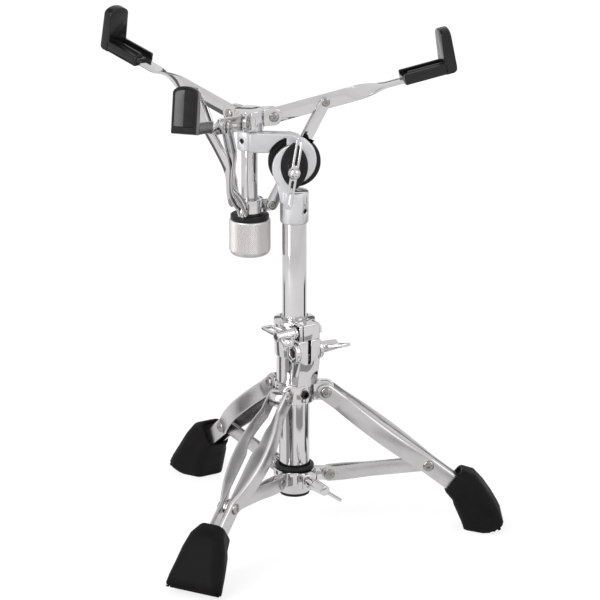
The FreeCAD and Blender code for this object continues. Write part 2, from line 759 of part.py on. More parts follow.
def lens(front, back):
    """The lens outline of the tilter's front, as a solid across Y."""
    top, bottom = [at(0, front, tilt_height + sign * lens_half_height) for sign in (1, -1)]
    right, left = [at(sign * lens_half_width, front, tilt_height) for sign in (1, -1)]
    arcs = [Part.Arc(top, right, bottom), Part.Arc(bottom, left, top)]
    return Part.Face(Part.Wire([arc.toShape() for arc in arcs])).extrude(at(0, back - front, 0))


def claw(sign, front, back):
    """A claw of the tilter on one side (sign 1 is right), cut off by the lens's far edge."""
    rim = across(claw_radius, front, back, -sign * claw_shift_x, tilt_height + sign * claw_shift_z)
    return rim.common(across(lens_radius, front, back, sign * lens_centre))


def set_screw(face, way, depth):
    """A headless screw with a hexagon socket in a hole from an outer face, with that hole."""
    floor = face + way * depth
    head = face + way * set_screw_recess
    screw = rod(set_screw_radius, head, floor).cut(hexagon(set_screw_key, head, way, set_screw_key_depth))
    return screw, rod(set_screw_radius + pin_fit, face, floor)


def make_upper():
    """Upper tube, tilter base with its set screw, disc, pad, stud and hexagon nut."""
    stud_hole = across(tilt_stud_radius + pin_fit, pad_boss_front, disc_back)
    neck_foot = socket_top - neck_depth
    neck = side_prism([(-neck_right, neck_foot), (neck_right, neck_foot), (neck_right, socket_top),
                       (-neck_left, tilt_height - neck_left_height)], base_claw_front, base_claw_back)
    socket = post(socket_radius, socket_bottom, socket_top)
    bore = post(upper_tube_radius + sleeve_fit, socket_bottom, upper_tube_top)
    base = joined(socket, claw(-1, base_claw_front, base_claw_back), neck).cut([bore, stud_hole])
    way = heading(base_screw_azimuth) * -1
    screw_face = at(0, 0, (socket_bottom + upper_tube_top) / 2) - way * socket_radius
    screw, screw_hole = set_screw(screw_face, way, socket_wall)

    disc = across(disc_radius, disc_front, disc_back)
    disc = disc.makeFillet(disc_edge, [edge for edge in disc.Edges if edge.BoundBox.YLength < FLAT])
    pad = joined(lens(pad_front, base_claw_front), across(pad_boss_radius, pad_boss_front, pad_front))
    nut = hexagon(tilt_nut_flats, at(0, tilt_nut_front, tilt_height), Y_AXIS, tilt_nut_height)
    head = hexagon(tilt_head_flats, at(0, disc_back, tilt_height), Y_AXIS, tilt_head_height)
    return {
        "upper_tube": tube(upper_tube_radius, upper_tube_radius - upper_tube_wall,
                           upper_tube_bottom, upper_tube_top),
        "tilter_base": base.cut(screw_hole),
        "tilter_base_screw": screw,
        "brake_disc": disc.cut(stud_hole),
        "brake_pad": pad.cut(stud_hole),
        "tilter_stud": joined(across(tilt_stud_radius, tilt_bore_end + tilt_stud_tip_gap, disc_back), head),
        "tilter_nut": nut.cut(across(tilt_stud_radius + pin_fit, tilt_nut_front, pad_boss_front)),
    }


def make_tilter_wing_nut():
    """The tilter's long wing nut: a ball hub, a stem and two slim slotted wings."""
    centre = at(0, tilt_hub_y, tilt_height)
    half = tilt_wing_thickness / 2
    tip = Z_AXIS * (tilt_wing_span / 2 - tilt_wing_width / 2)
    wings = stadium(centre - tip, centre + tip, tilt_wing_width / 2, half)
    slots = []
    for way in (Z_AXIS, Z_AXIS * -1):
        start = centre + way * (tilt_hub_radius + tilt_wing_rim)
        end = centre + way * (tip.z - tilt_wing_rim / 2)
        slots.append(stadium(start, end, tilt_wing_slot / 2, half))
    ball = Part.makeSphere(tilt_hub_radius, centre)
    stem = across(tilt_stem_radius, tilt_hub_y, tilt_stem_back)
    bore = across(tilt_stud_radius + pin_fit, tilt_bore_end, tilt_stem_back)
    nut = joined(wings.cut(slots), ball, stem).cut(bore)
    return nut.rotated(centre, Y_AXIS, tilt_wing_lean)


def make_holder():
    """The upper casting that carries the basket's rod, with its set screw."""
    clear = disc_radius + 2 * seat_gap
    nose_foot = tilt_height + holder_nose_foot
    outline = [(basket_x, holder_low), (basket_x, holder_top), (-claw_shift_x, holder_top - holder_nose_drop),
               (holder_nose, tilt_height + claw_radius), (holder_nose, nose_foot), (-holder_nose, nose_foot),
               (-holder_nose, holder_low)]
    left_of_nose = block(at(-clear - cut_margin, claw_front, tilt_height - clear),
                         at(-holder_nose, disc_back, holder_top))
    window = across(clear + seat_gap, claw_front, disc_back).common(left_of_nose)
    arm = side_prism(outline, claw_front, disc_back).cut([window, across(clear, arm_layer_back, disc_back)])
    boss = post(holder_radius, holder_low, holder_top).translated(basket_axis)
    bore = post(rod_radius + pin_fit, holder_low, holder_top).translated(basket_axis)
    stud_hole = across(tilt_stud_radius + pin_fit, claw_front, arm_layer_back)
    body = joined(arm, boss, claw(1, claw_front, arm_layer_back)).cut([bore, stud_hole])
    way = heading(holder_screw_azimuth) * -1
    face = basket_axis + Z_AXIS * ((holder_low + holder_top) / 2) - way * holder_radius
    screw, hole = set_screw(face, way, holder_wall)
    return {"basket_holder": body.cut(hole), "basket_holder_screw": screw}


def make_hub():
    """The basket's rod and hub, with the three pins that the arms turn on."""
    outer = arm_half_gap + hub_cheek
    lug = stadium(at(0, 0, arm_pivot_height), arm_pivot, hub_lug_round, outer)
    slot_end = arm_pivot_radius + hub_lug_round + cut_margin
    slot = block(at(hub_core_radius, -arm_half_gap, hub_bottom), at(slot_end, arm_half_gap, hub_top))
    hole = cross_rod(arm_pin_radius + pin_fit, arm_pivot, outer)
    pin = rivet(arm_pin_radius, arm_pin_head_radius, arm_pin_head_height, arm_pivot, outer)
    rod_top = hub_top - hub_roof
    body = joined(post(hub_core_radius, hub_bottom, hub_top), *at_arms(lug))
    body = body.cut([*at_arms(slot), *at_arms(hole), post(rod_radius + pin_fit, hub_bottom, rod_top)])
    return {
        "basket_rod": post(rod_radius, nut_top - rod_past_washer, rod_top).translated(basket_axis),
        "basket_hub": body.translated(basket_axis),
        "basket_hub_pins": Part.makeCompound(at_arms(pin)).translated(basket_axis),
    }


def arm_place(along, up=0.0, lateral=0.0):
    """A point on an arm, from its pivot along it, up from its middle and to its side."""
    return arm_pivot + arm_along * along + arm_normal * up + Y_AXIS * lateral


def blade_section(along, twist, grow=0.0):
    """The arm's rectangular section, turned about the arm by a twist in degrees."""
    turn = FreeCAD.Rotation(arm_along, twist)
    up = turn.multVec(arm_normal) * (arm_width / 2 + grow)
    side = turn.multVec(Y_AXIS) * (arm_thickness / 2 + grow)
    centre = arm_place(along)
    points = [centre + up + side, centre - up + side, centre - up - side, centre + up - side]
    return Part.makePolygon(points + points[:1])


def make_arm():
    """One basket arm: an upright bar with a round end, twisted flat before its grip."""
    root = cross_rod(arm_width / 2, arm_pivot, arm_thickness / 2)
    straight = Part.Face(blade_section(0, 0)).extrude(arm_along * arm_twist_start)
    stations = [i / arm_twist_steps for i in range(arm_twist_steps + 1)]
    sections = [blade_section(arm_twist_start + t * arm_twist_length, 90 * t) for t in stations]
    twist = Part.makeLoft(sections, True, True)
    flat = Part.Face(blade_section(arm_twist_end, 90)).extrude(arm_along * (arm_length - arm_twist_end))
    hole = cross_rod(arm_pin_radius + pin_fit, arm_pivot, arm_thickness)
    return joined(root, straight, twist, flat).cut(hole)


def grip_slab(start, end, low, high, width):
    """A straight slab of a grip, between two places along the arm and two heights."""
    corners = [(start, low), (end, low), (end, high), (start, high)]
    return prism([arm_place(s, up, -width / 2) for s, up in corners], Y_AXIS * width)


def make_grip():
    """One L-shaped grip: a channelled foot on the arm's blade and an upright that holds the drum's hoop."""
    half = grip_width / 2
    inner = grip_end - grip_upright_thickness
    floor = grip_foot_high - grip_channel_depth
    foot = grip_slab(grip_start, grip_end, -grip_foot_low, grip_foot_high, grip_width)
    channel = grip_slab(grip_start, inner, floor, grip_foot_high, grip_width - 2 * grip_rim)
    ridge = grip_slab(grip_start + grip_ridge_setback, grip_end, floor - grip_ridge_root,
                      grip_foot_high - grip_ridge_drop, grip_ridge_width)
    left, right = [arm_place(inner, grip_shoulder_height, side) for side in (-half, half)]
    low_left, low_right = [arm_place(inner, -grip_foot_low, side) for side in (-half, half)]
    top = grip_shoulder_height + grip_crown_rise
    sides = Part.makePolygon([left, low_left, low_right, right])
    rim = Part.Wire([*sides.Edges, Part.Arc(right, arm_place(inner, top), left).toShape()])
    taper = [(inner, -grip_foot_low), (grip_end, -grip_foot_low), (grip_end, top),
             (grip_end - grip_crown_thickness, top)]
    wedge = prism([arm_place(s, up, -half) for s, up in taper], Y_AXIS * grip_width)
    upright = Part.Face(rim).extrude(arm_along * grip_upright_thickness).common(wedge)
    blade = blade_section(arm_twist_end, 90, grip_fit)
    pocket = Part.Face(blade).extrude(arm_along * (arm_length + grip_arm_gap - arm_twist_end))
    return joined(foot.cut(channel), ridge, upright).cut(pocket)


def make_link():
    """One basket link, forked over the arm at the top and over the spider's lug at the bottom."""
    half = link_width / 2
    way = (link_top - link_bottom).normalize()
    upper = stadium(link_top - way * (link_fork_depth - half), link_top + way * link_width,
                    half + cut_margin, arm_half_gap)
    lower = stadium(link_bottom - way * link_width, link_bottom + way * link_lug_depth,
                    half + cut_margin, spider_lug_half + side_gap)
    hole_radius = link_pin_radius + pin_fit
    holes = [cross_rod(hole_radius, point, link_half_width) for point in (link_top, link_bottom)]
    link = stadium(link_bottom, link_top, half, link_half_width).cut([upper, lower, *holes])
    ends = studs(link_pin_radius, link_pin_head_radius, link_pin_head_height, link_top,
                 arm_half_gap, link_half_width)
    return link, Part.makeCompound(ends)


def make_spider():
    """The spider that carries the links' lower ends, its rivets, the washer and the nut."""
    lug = stadium(at(0, 0, spider_pivot_height), link_bottom, spider_lug_round, spider_lug_half)
    pin = rivet(link_pin_radius, link_pin_head_radius, link_pin_head_height, link_bottom,
                link_half_width + head_play)
    hole = cross_rod(link_pin_radius + pin_fit, link_bottom, link_half_width)
    bore = rod_radius + slide_fit
    body = joined(post(spider_radius, spider_bottom, spider_top), *at_arms(lug))
    body = body.cut([*at_arms(hole), post(bore, spider_bottom, spider_top)])
    nut = post(nut_radius, nut_bottom, nut_top)
    low_rim = [edge for edge in nut.Edges if edge.BoundBox.ZMax < nut_bottom + FLAT]
    nut = nut.makeFillet(nut_edge, low_rim)
    top_rim = [edge for edge in nut.Edges if edge.BoundBox.ZMin > nut_top - FLAT]
    nut = nut.makeChamfer(nut_lip, top_rim).cut(post(bore, nut_bottom, nut_top))
    pieces = {
        "basket_spider": body,
        "basket_spider_rivets": Part.makeCompound(at_arms(pin)),
        "basket_washer": tube(washer_radius, bore, nut_top, spider_bottom),
        "basket_nut": nut,
    }
    return {node: shape.translated(basket_axis) for node, shape in pieces.items()}


def make_stand():
    """Every node of the stand by name."""
    nodes = {**make_base(), **make_clamp()}
    for name, azimuth in leg_azimuths.items():
        nodes.update(make_leg(name, azimuth))
        nodes[f"brace_{name}"] = turned(make_brace(), azimuth)
    nodes.update(make_spreader())
    nodes.update(make_lock())
    nodes.update(make_upper())
    nodes["tilter_wing_nut"] = make_tilter_wing_nut()
    nodes.update(make_holder())
    nodes.update(make_hub())
    link, link_studs = make_link()
    for name, azimuth in basket_azimuths.items():
        nodes[f"basket_arm_{name}"] = basket_side(make_arm(), azimuth)
        nodes[f"basket_grip_{name}"] = basket_side(make_grip(), azimuth)
        nodes[f"basket_link_{name}"] = basket_side(link, azimuth)
        nodes[f"basket_link_rivets_{name}"] = basket_side(link_studs, azimuth)
    nodes.update(make_spider())
    return nodes


stand = make_stand()
os.makedirs("parts", exist_ok=True)
for node, shape in stand.items():
    shape.exportStep(f"parts/{node}.step")
    print(f"{node}: {len(shape.Solids)} solid(s), valid {shape.isValid()}, {shape.Volume / 1000:.2f} cm3")
print(f"{len(stand)} nodes")
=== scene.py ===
import logging
import math
from dataclasses import dataclass, field
from enum import Enum
from typing import Callable, Iterable, Sequence

import bmesh
import bpy
from mathutils import Matrix, Vector


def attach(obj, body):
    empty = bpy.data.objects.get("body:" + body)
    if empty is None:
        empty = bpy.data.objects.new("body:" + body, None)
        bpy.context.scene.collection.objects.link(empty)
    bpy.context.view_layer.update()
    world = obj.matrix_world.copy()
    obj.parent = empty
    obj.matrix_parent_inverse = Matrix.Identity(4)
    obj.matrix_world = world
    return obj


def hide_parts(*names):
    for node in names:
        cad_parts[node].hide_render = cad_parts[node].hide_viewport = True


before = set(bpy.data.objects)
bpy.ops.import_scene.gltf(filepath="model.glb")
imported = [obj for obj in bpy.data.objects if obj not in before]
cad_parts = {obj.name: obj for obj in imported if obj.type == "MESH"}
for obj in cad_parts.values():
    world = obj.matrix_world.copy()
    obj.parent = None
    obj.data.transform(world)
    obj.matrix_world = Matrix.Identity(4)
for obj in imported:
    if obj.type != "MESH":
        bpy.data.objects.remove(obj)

# Dressed snare drum stand. The stand's sizes are in millimetres, its meshes and the studio in metres.
MM = 0.001
MERGE = 0.002          # greatest distance of doubled points, in millimetres
SMOOTH_ANGLE = 38.0    # greatest angle that is shaded smooth, in degrees
LOG = logging.getLogger("snare_stand")
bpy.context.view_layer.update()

UP = Vector((0.0, 0.0, 1.0))

Point = tuple[float, float]
Colour = tuple[float, float, float]
Seat = tuple[Vector, Vector]
Inputs = dict[str | int, object]


@dataclass(frozen=True)
class Layout:
    """Places that several sub-assemblies share, in millimetres and degrees."""

    leg_azimuths: tuple[tuple[str, float], ...] = (("right", 1.5), ("rear", 121.5), ("front", 241.5))
    leg_pivot_height: float = 154.6
    brace_hub_radius: float = 36.4
    brace_hub_height: float = 61.6
    arm_azimuths: tuple[tuple[str, float], ...] = (("right", 14.0), ("left", 134.0), ("front", 254.0))
    basket_x: float = -46.0
    basket_y: float = 15.0
    arm_pivot_radius: float = 24.5
    arm_pivot_height: float = 443.9
    spider_pin_radius: float = 23.1
    spider_pin_height: float = 349.7

    def basket_axis(self) -> Vector:
        """Foot of the basket's upright axis."""
        return Vector((self.basket_x, self.basket_y, 0.0))


LAYOUT = Layout()


class Slot(Enum):
    """Material slots of the record."""

    CHROME = "chrome"
    CASTING = "satin_casting"
    STEEL = "dark_steel"
    RUBBER = "foot_rubber"
    PLASTIC = "grip_plastic"
    NYLON = "black_nylon"


def connect(tree: bpy.types.NodeTree, node: bpy.types.Node, inputs: Inputs) -> None:
    """Sets or links the inputs of a node.

    Args:
        tree: Tree of the node.
        node: The node.
        inputs: Values or sockets by the name or number of the input.
    """
    for key, value in inputs.items():
        if isinstance(value, bpy.types.NodeSocket):
            tree.links.new(value, node.inputs[key])
        else:
            node.inputs[key].default_value = value


def add_node(tree: bpy.types.NodeTree, kind: str, inputs: Inputs | None = None,
             **settings: object) -> bpy.types.Node:
    """Adds a node to a tree.

    Args:
        tree: The tree.
        kind: Type of the node.
        inputs: Values or sockets by the name or number of the input.
        settings: Properties of the node.

    Returns:
        The node.
    """
    node = tree.nodes.new(kind)
    for key, value in settings.items():
        setattr(node, key, value)
    connect(tree, node, inputs or {})
    return node


@dataclass(frozen=True)
class Finish:
    """A procedural surface: two tones in soft clouds, a roughness range and a fine grain.

    Args:
        name: Name of the material.
        slot: Slot of the record that it belongs to; not used.
        low: Darker tone.
        high: Lighter tone.
        metallic: Metal share of the surface.
        rough_low: Least roughness.
        rough_high: Greatest roughness.
        cloud: Clouds per metre.
        grain: Grains per metre.
        bump: Depth of the grain in millimetres.
        specular: Strength of the gloss of a surface that isn't metal.
    """

    name: str
    slot: Slot
    low: Colour
    high: Colour
    metallic: float
    rough_low: float
    rough_high: float
    cloud: float
    grain: float
    bump: float
    specular: float = 0.5

    def material(self) -> bpy.types.Material:
        """The material of this finish, made on first use.

        Returns:
            The node material.
        """
        made = bpy.data.materials.get(self.name)
        if made is not None:
            return made
        made = bpy.data.materials.new(self.name)
        made.use_nodes = True
        tree = made.node_tree
        place = add_node(tree, "ShaderNodeTexCoord").outputs["Object"]
        clouds = add_node(tree, "ShaderNodeTexNoise", {"Vector": place, "Scale": self.cloud, "Detail": 3.0})
        grains = add_node(tree, "ShaderNodeTexNoise", {"Vector": place, "Scale": self.grain, "Detail": 2.0})
        tone = add_node(tree, "ShaderNodeValToRGB", {"Fac": clouds.outputs["Fac"]})
        for stop, position, colour in zip(tone.color_ramp.elements, (0.35, 0.68), (self.low, self.high)):
            stop.position = position
            stop.color = (*colour, 1.0)
        gloss = add_node(tree, "ShaderNodeMapRange",
                         {"Value": clouds.outputs["Fac"], "From Min": 0.3, "From Max": 0.7,
                          "To Min": self.rough_low, "To Max": self.rough_high})
        bump = add_node(tree, "ShaderNodeBump",
                        {"Strength": 1.0, "Distance": self.bump * MM, "Height": grains.outputs["Fac"]})
        connect(tree, tree.nodes["Principled BSDF"],
                {"Metallic": self.metallic, "Specular IOR Level": self.specular,
                 "Base Color": tone.outputs["Color"], "Roughness": gloss.outputs["Result"],
                 "Normal": bump.outputs["Normal"]})
        return made


CHROME = Finish("polished_chrome", Slot.CHROME, low=(0.54, 0.53, 0.535), high=(0.62, 0.61, 0.615),
                metallic=1.0, rough_low=0.05, rough_high=0.12,
                cloud=22.0, grain=260.0, bump=0.004)
PRESSED_CHROME = Finish("pressed_sheet_chrome", Slot.CHROME, low=(0.46, 0.45, 0.455),
                        high=(0.56, 0.55, 0.555), metallic=1.0, rough_low=0.24, rough_high=0.34,
                        cloud=30.0, grain=420.0, bump=0.008)
KNURLED_CHROME = Finish("knurled_chrome", Slot.CHROME, low=(0.60, 0.58, 0.575), high=(0.64, 0.62, 0.615),
                        metallic=1.0, rough_low=0.44, rough_high=0.52,
                        cloud=30.0, grain=900.0, bump=0.01)
RIVET_STEEL = Finish("turned_rivet_steel", Slot.CHROME, low=(0.26, 0.245, 0.235), high=(0.38, 0.36, 0.35),
                     metallic=1.0, rough_low=0.12, rough_high=0.24,
                     cloud=90.0, grain=700.0, bump=0.006)
SATIN_CASTING = Finish("satin_die_casting", Slot.CASTING, low=(0.60, 0.60, 0.61), high=(0.70, 0.70, 0.71),
                       metallic=0.9, rough_low=0.4, rough_high=0.52,
                       cloud=40.0, grain=900.0, bump=0.012)
# Blackened steel of the screws and nuts; on the clamp bolt it is also painted shade, darkening the hex in the
# clamp's recess.
DARK_STEEL = Finish("blackened_steel_and_painted_shade", Slot.STEEL, low=(0.02, 0.018, 0.018), high=(0.06, 0.055, 0.05),
                    metallic=0.85, rough_low=0.28, rough_high=0.45,
                    cloud=90.0, grain=900.0, bump=0.01)
FOOT_RUBBER = Finish("moulded_foot_rubber", Slot.RUBBER, low=(0.005, 0.0045, 0.0045),
                     high=(0.009, 0.008, 0.008), metallic=0.0, rough_low=0.5, rough_high=0.66,
                     cloud=60.0, grain=1400.0, bump=0.05, specular=0.09)
GRIP_PLASTIC = Finish("glossy_grip_plastic", Slot.PLASTIC, low=(0.007, 0.006, 0.007),
                      high=(0.013, 0.012, 0.013), metallic=0.0, rough_low=0.12, rough_high=0.24,
                      cloud=45.0, grain=1100.0, bump=0.01, specular=0.3)
BLACK_NYLON = Finish("satin_black_nylon", Slot.NYLON, low=(0.008, 0.008, 0.008), high=(0.015, 0.015, 0.015),
                     metallic=0.0, rough_low=0.36, rough_high=0.52,
                     cloud=60.0, grain=1200.0, bump=0.02, specular=0.22)


def polar(azimuth: float) -> tuple[Vector, Vector]:
    """Outward and sideways unit vectors at an azimuth.

    Args:
        azimuth: Degrees from +X towards +Y.

    Returns:
        The outward way and the way to its left seen from above.
    """
    angle = math.radians(azimuth)
    return Vector((math.cos(angle), math.sin(angle), 0.0)), Vector((-math.sin(angle), math.cos(angle), 0.0))


def rounded_box(half_a: float, half_b: float, corner: float, steps: int = 4) -> list[Point]:
    """A rectangle with round corners, counter-clockwise.

    Args:
        half_a: Half of its first side.
        half_b: Half of its second side.
        corner: Corner radius.
        steps: Points on each corner.

    Returns:
        Outline points.
    """
    corner = min(corner, half_a * 0.98, half_b * 0.98)
    points = []
    for turn, (sign_a, sign_b) in enumerate(((1, 1), (-1, 1), (-1, -1), (1, -1))):
        for step in range(steps):
            angle = math.radians(90.0 * (turn + step / (steps - 1)))
            points.append((sign_a * (half_a - corner) + corner * math.cos(angle),
                           sign_b * (half_b - corner) + corner * math.sin(angle)))
    return points


def smooth(value: float) -> float:
    """A soft step from 0 to 1."""
    value = min(1.0, max(0.0, value))
    return value * value * (3.0 - 2.0 * value)


def skin(bm: bmesh.types.BMesh, rings: Sequence[Sequence[Vector]], capped: bool = True,
         looped: bool = False) -> None:
    """Adds a surface through closed rings of equal length.

    Args:
        bm: Mesh to add to.
        rings: Rings of points in millimetres.
        capped: Whether the end rings are closed with faces.
        looped: Whether the last ring joins the first.
    """
    made = [[bm.verts.new(point * MM) for point in ring] for ring in rings]
    pairs = list(zip(made, made[1:])) + ([(made[-1], made[0])] if looped else [])
    for ring, following in pairs:
        for i in range(len(ring)):
            j = (i + 1) % len(ring)
            bm.faces.new((ring[i], ring[j], following[j], following[i]))
    if capped and not looped:
        bm.faces.new(list(reversed(made[0])))
        bm.faces.new(made[-1])


def lathe(bm: bmesh.types.BMesh, profile: Sequence[Point], base: Vector, axis: Vector,
          segments: int = 48, looped: bool = False) -> None:
    """Adds a turned body.

    Args:
        bm: Mesh to add to.
        profile: Points of radius and height along the axis.
        base: Origin of the heights in millimetres.
        axis: Way of the axis.
        segments: Steps round the axis.
        looped: Whether the profile is closed, as on a ring.
    """
    axis = axis.normalized()
    first = axis.orthogonal().normalized()
    second = axis.cross(first)
    least_radius = 0.01
    turns = [2.0 * math.pi * i / segments for i in range(segments)]
    spokes = [first * math.cos(turn) + second * math.sin(turn) for turn in turns]
    rings = [[base + axis * height + spoke * max(radius, least_radius) for spoke in spokes]
             for radius, height in profile]
    skin(bm, rings, not looped, looped)


def paired_straps(bm: bmesh.types.BMesh, start: Vector, end: Vector, side: Vector, half: float,
                  thickness: float, apart: Callable[[float], float], shift: Callable[[float], float]) -> None:
    """Adds two straps with round ends that run side by side between two pins.

    Args:
        bm: Mesh to add to.
        start: Middle of the first pin in millimetres.
        end: Middle of the second pin.
        side: Way of the pins.
        half: Half the straps' width.
        thickness: Their thickness.
        apart: Distance of each strap's middle from the common middle at a share of the length.
        shift: Sideways shift of the common middle at a share of the length.
    """
    way = (end - start).normalized()
    face = side.cross(way).normalized()
    reach = (end - start).length
    steps, tip, edge_radius = 56, 0.02, 0.6
    for sign in (1, -1):
        rings = []
        for i in range(steps + 1):
            share = 0.5 - 0.5 * math.cos(math.pi * i / steps)
            along = tip - half + (reach + 2.0 * half - 2.0 * tip) * share
            past = max(-along, along - reach, 0.0)
            wide = math.sqrt(half * half - past * past)
            sideways = sign * apart(along / reach) + shift(along / reach)
            centre = start + way * along + side * sideways
            outline = rounded_box(wide, thickness / 2, edge_radius, 3)
            rings.append([centre + face * across + side * through for across, through in outline])
        skin(bm, rings)


def tidy(bm: bmesh.types.BMesh, merge: float = MERGE) -> None:
    """Merges doubled points, closes open rings and turns the faces outwards.

    Args:
        bm: Mesh to tidy.
        merge: Greatest distance of doubled points in millimetres.
    """
    bmesh.ops.remove_doubles(bm, verts=bm.verts, dist=merge * MM)
    bmesh.ops.holes_fill(bm, edges=[edge for edge in bm.edges if edge.is_boundary], sides=0)
    bmesh.ops.recalc_face_normals(bm, faces=bm.faces)


def copied(nodes: Iterable[str]) -> bmesh.types.BMesh:
    """A merged copy of the meshes of some nodes.

    Args:
        nodes: Names of the nodes.

    Returns:
        The copy with its flat faces joined.
    """
    bm = bmesh.new()
    for node in nodes:
        bm.from_mesh(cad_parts[node].data)
    bmesh.ops.remove_doubles(bm, verts=bm.verts, dist=MERGE * MM)
    flat_angle = 0.6
    bmesh.ops.dissolve_limit(bm, angle_limit=math.radians(flat_angle), use_dissolve_boundaries=False,
                             verts=bm.verts, edges=bm.edges, delimit=set())
    return bm


def soften(bm: bmesh.types.BMesh, radius: float, segments: int = 2, angle: float = 32.0) -> None:
    """Rounds the sharp edges of a mesh.

    Args:
        bm: Mesh to round.
        radius: Width of the rounding in millimetres.
        segments: Steps of the rounding.
        angle: Least angle of an edge that is rounded, in degrees.
    """
    edges = [edge for edge in bm.edges
             if len(edge.link_faces) == 2 and edge.calc_face_angle(0.0) > math.radians(angle)]
    bmesh.ops.bevel(bm, geom=edges, offset=radius * MM, offset_type="OFFSET", segments=segments, profile=0.5,
                    affect="EDGES", clamp_overlap=False, loop_slide=True)
    bmesh.ops.dissolve_degenerate(bm, dist=MERGE / 4 * MM, edges=bm.edges)


def dress(name: str, bm: bmesh.types.BMesh, finish: Finish, body: str, nodes: Sequence[str] = (),
          angle: float = SMOOTH_ANGLE) -> bpy.types.Object:
    """Makes a finished piece from a mesh and lets it ride on its body.

    Args:
        name: Name of the piece.
        bm: Its mesh in metres, which is freed.
        finish: Its surface.
        body: Body that carries it.
        nodes: Nodes that it stands for.
        angle: Greatest angle that is shaded smooth, in degrees.

    Returns:
        The piece.
    """
    mesh = bpy.data.meshes.new(name)
    bm.to_mesh(mesh)
    bm.free()
    mesh.shade_smooth()
    mesh.set_sharp_from_angle(angle=math.radians(angle))
    return mount(name, mesh, finish, body, nodes)


def mount(name: str, mesh: bpy.types.Mesh, finish: Finish, body: str,
          nodes: Sequence[str] = ()) -> bpy.types.Object:
    """Puts a finished mesh into the scene on its body.

    Args:
        name: Name of the piece.
        mesh: Its mesh.
        finish: Its surface.
        body: Body that carries it.
        nodes: Nodes that it stands for.

    Returns:
        The piece.
    """
    mesh.materials.clear()
    mesh.materials.append(finish.material())
    piece = bpy.data.objects.new(name, mesh)
    bpy.context.scene.collection.objects.link(piece)
    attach(piece, body)
    if nodes:
        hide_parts(*nodes)
    LOG.info("%s on %s: %d faces, %s", name, body, len(mesh.polygons), finish.name)
    return piece


def softened(name: str, nodes: Sequence[str], finish: Finish, body: str, radius: float,
             segments: int = 2) -> bpy.types.Object:
    """A piece with the shape of its nodes and round edges.

    Args:
        name: Name of the piece.
        nodes: Nodes that it copies and stands for.
        finish: Its surface.
        body: Body that carries it.
        radius: Width of the edge rounding in millimetres.
        segments: Steps of the rounding.

    Returns:
        The piece.
    """
    bm = copied(nodes)
    soften(bm, radius, segments)
    return dress(name, bm, finish, body, nodes)


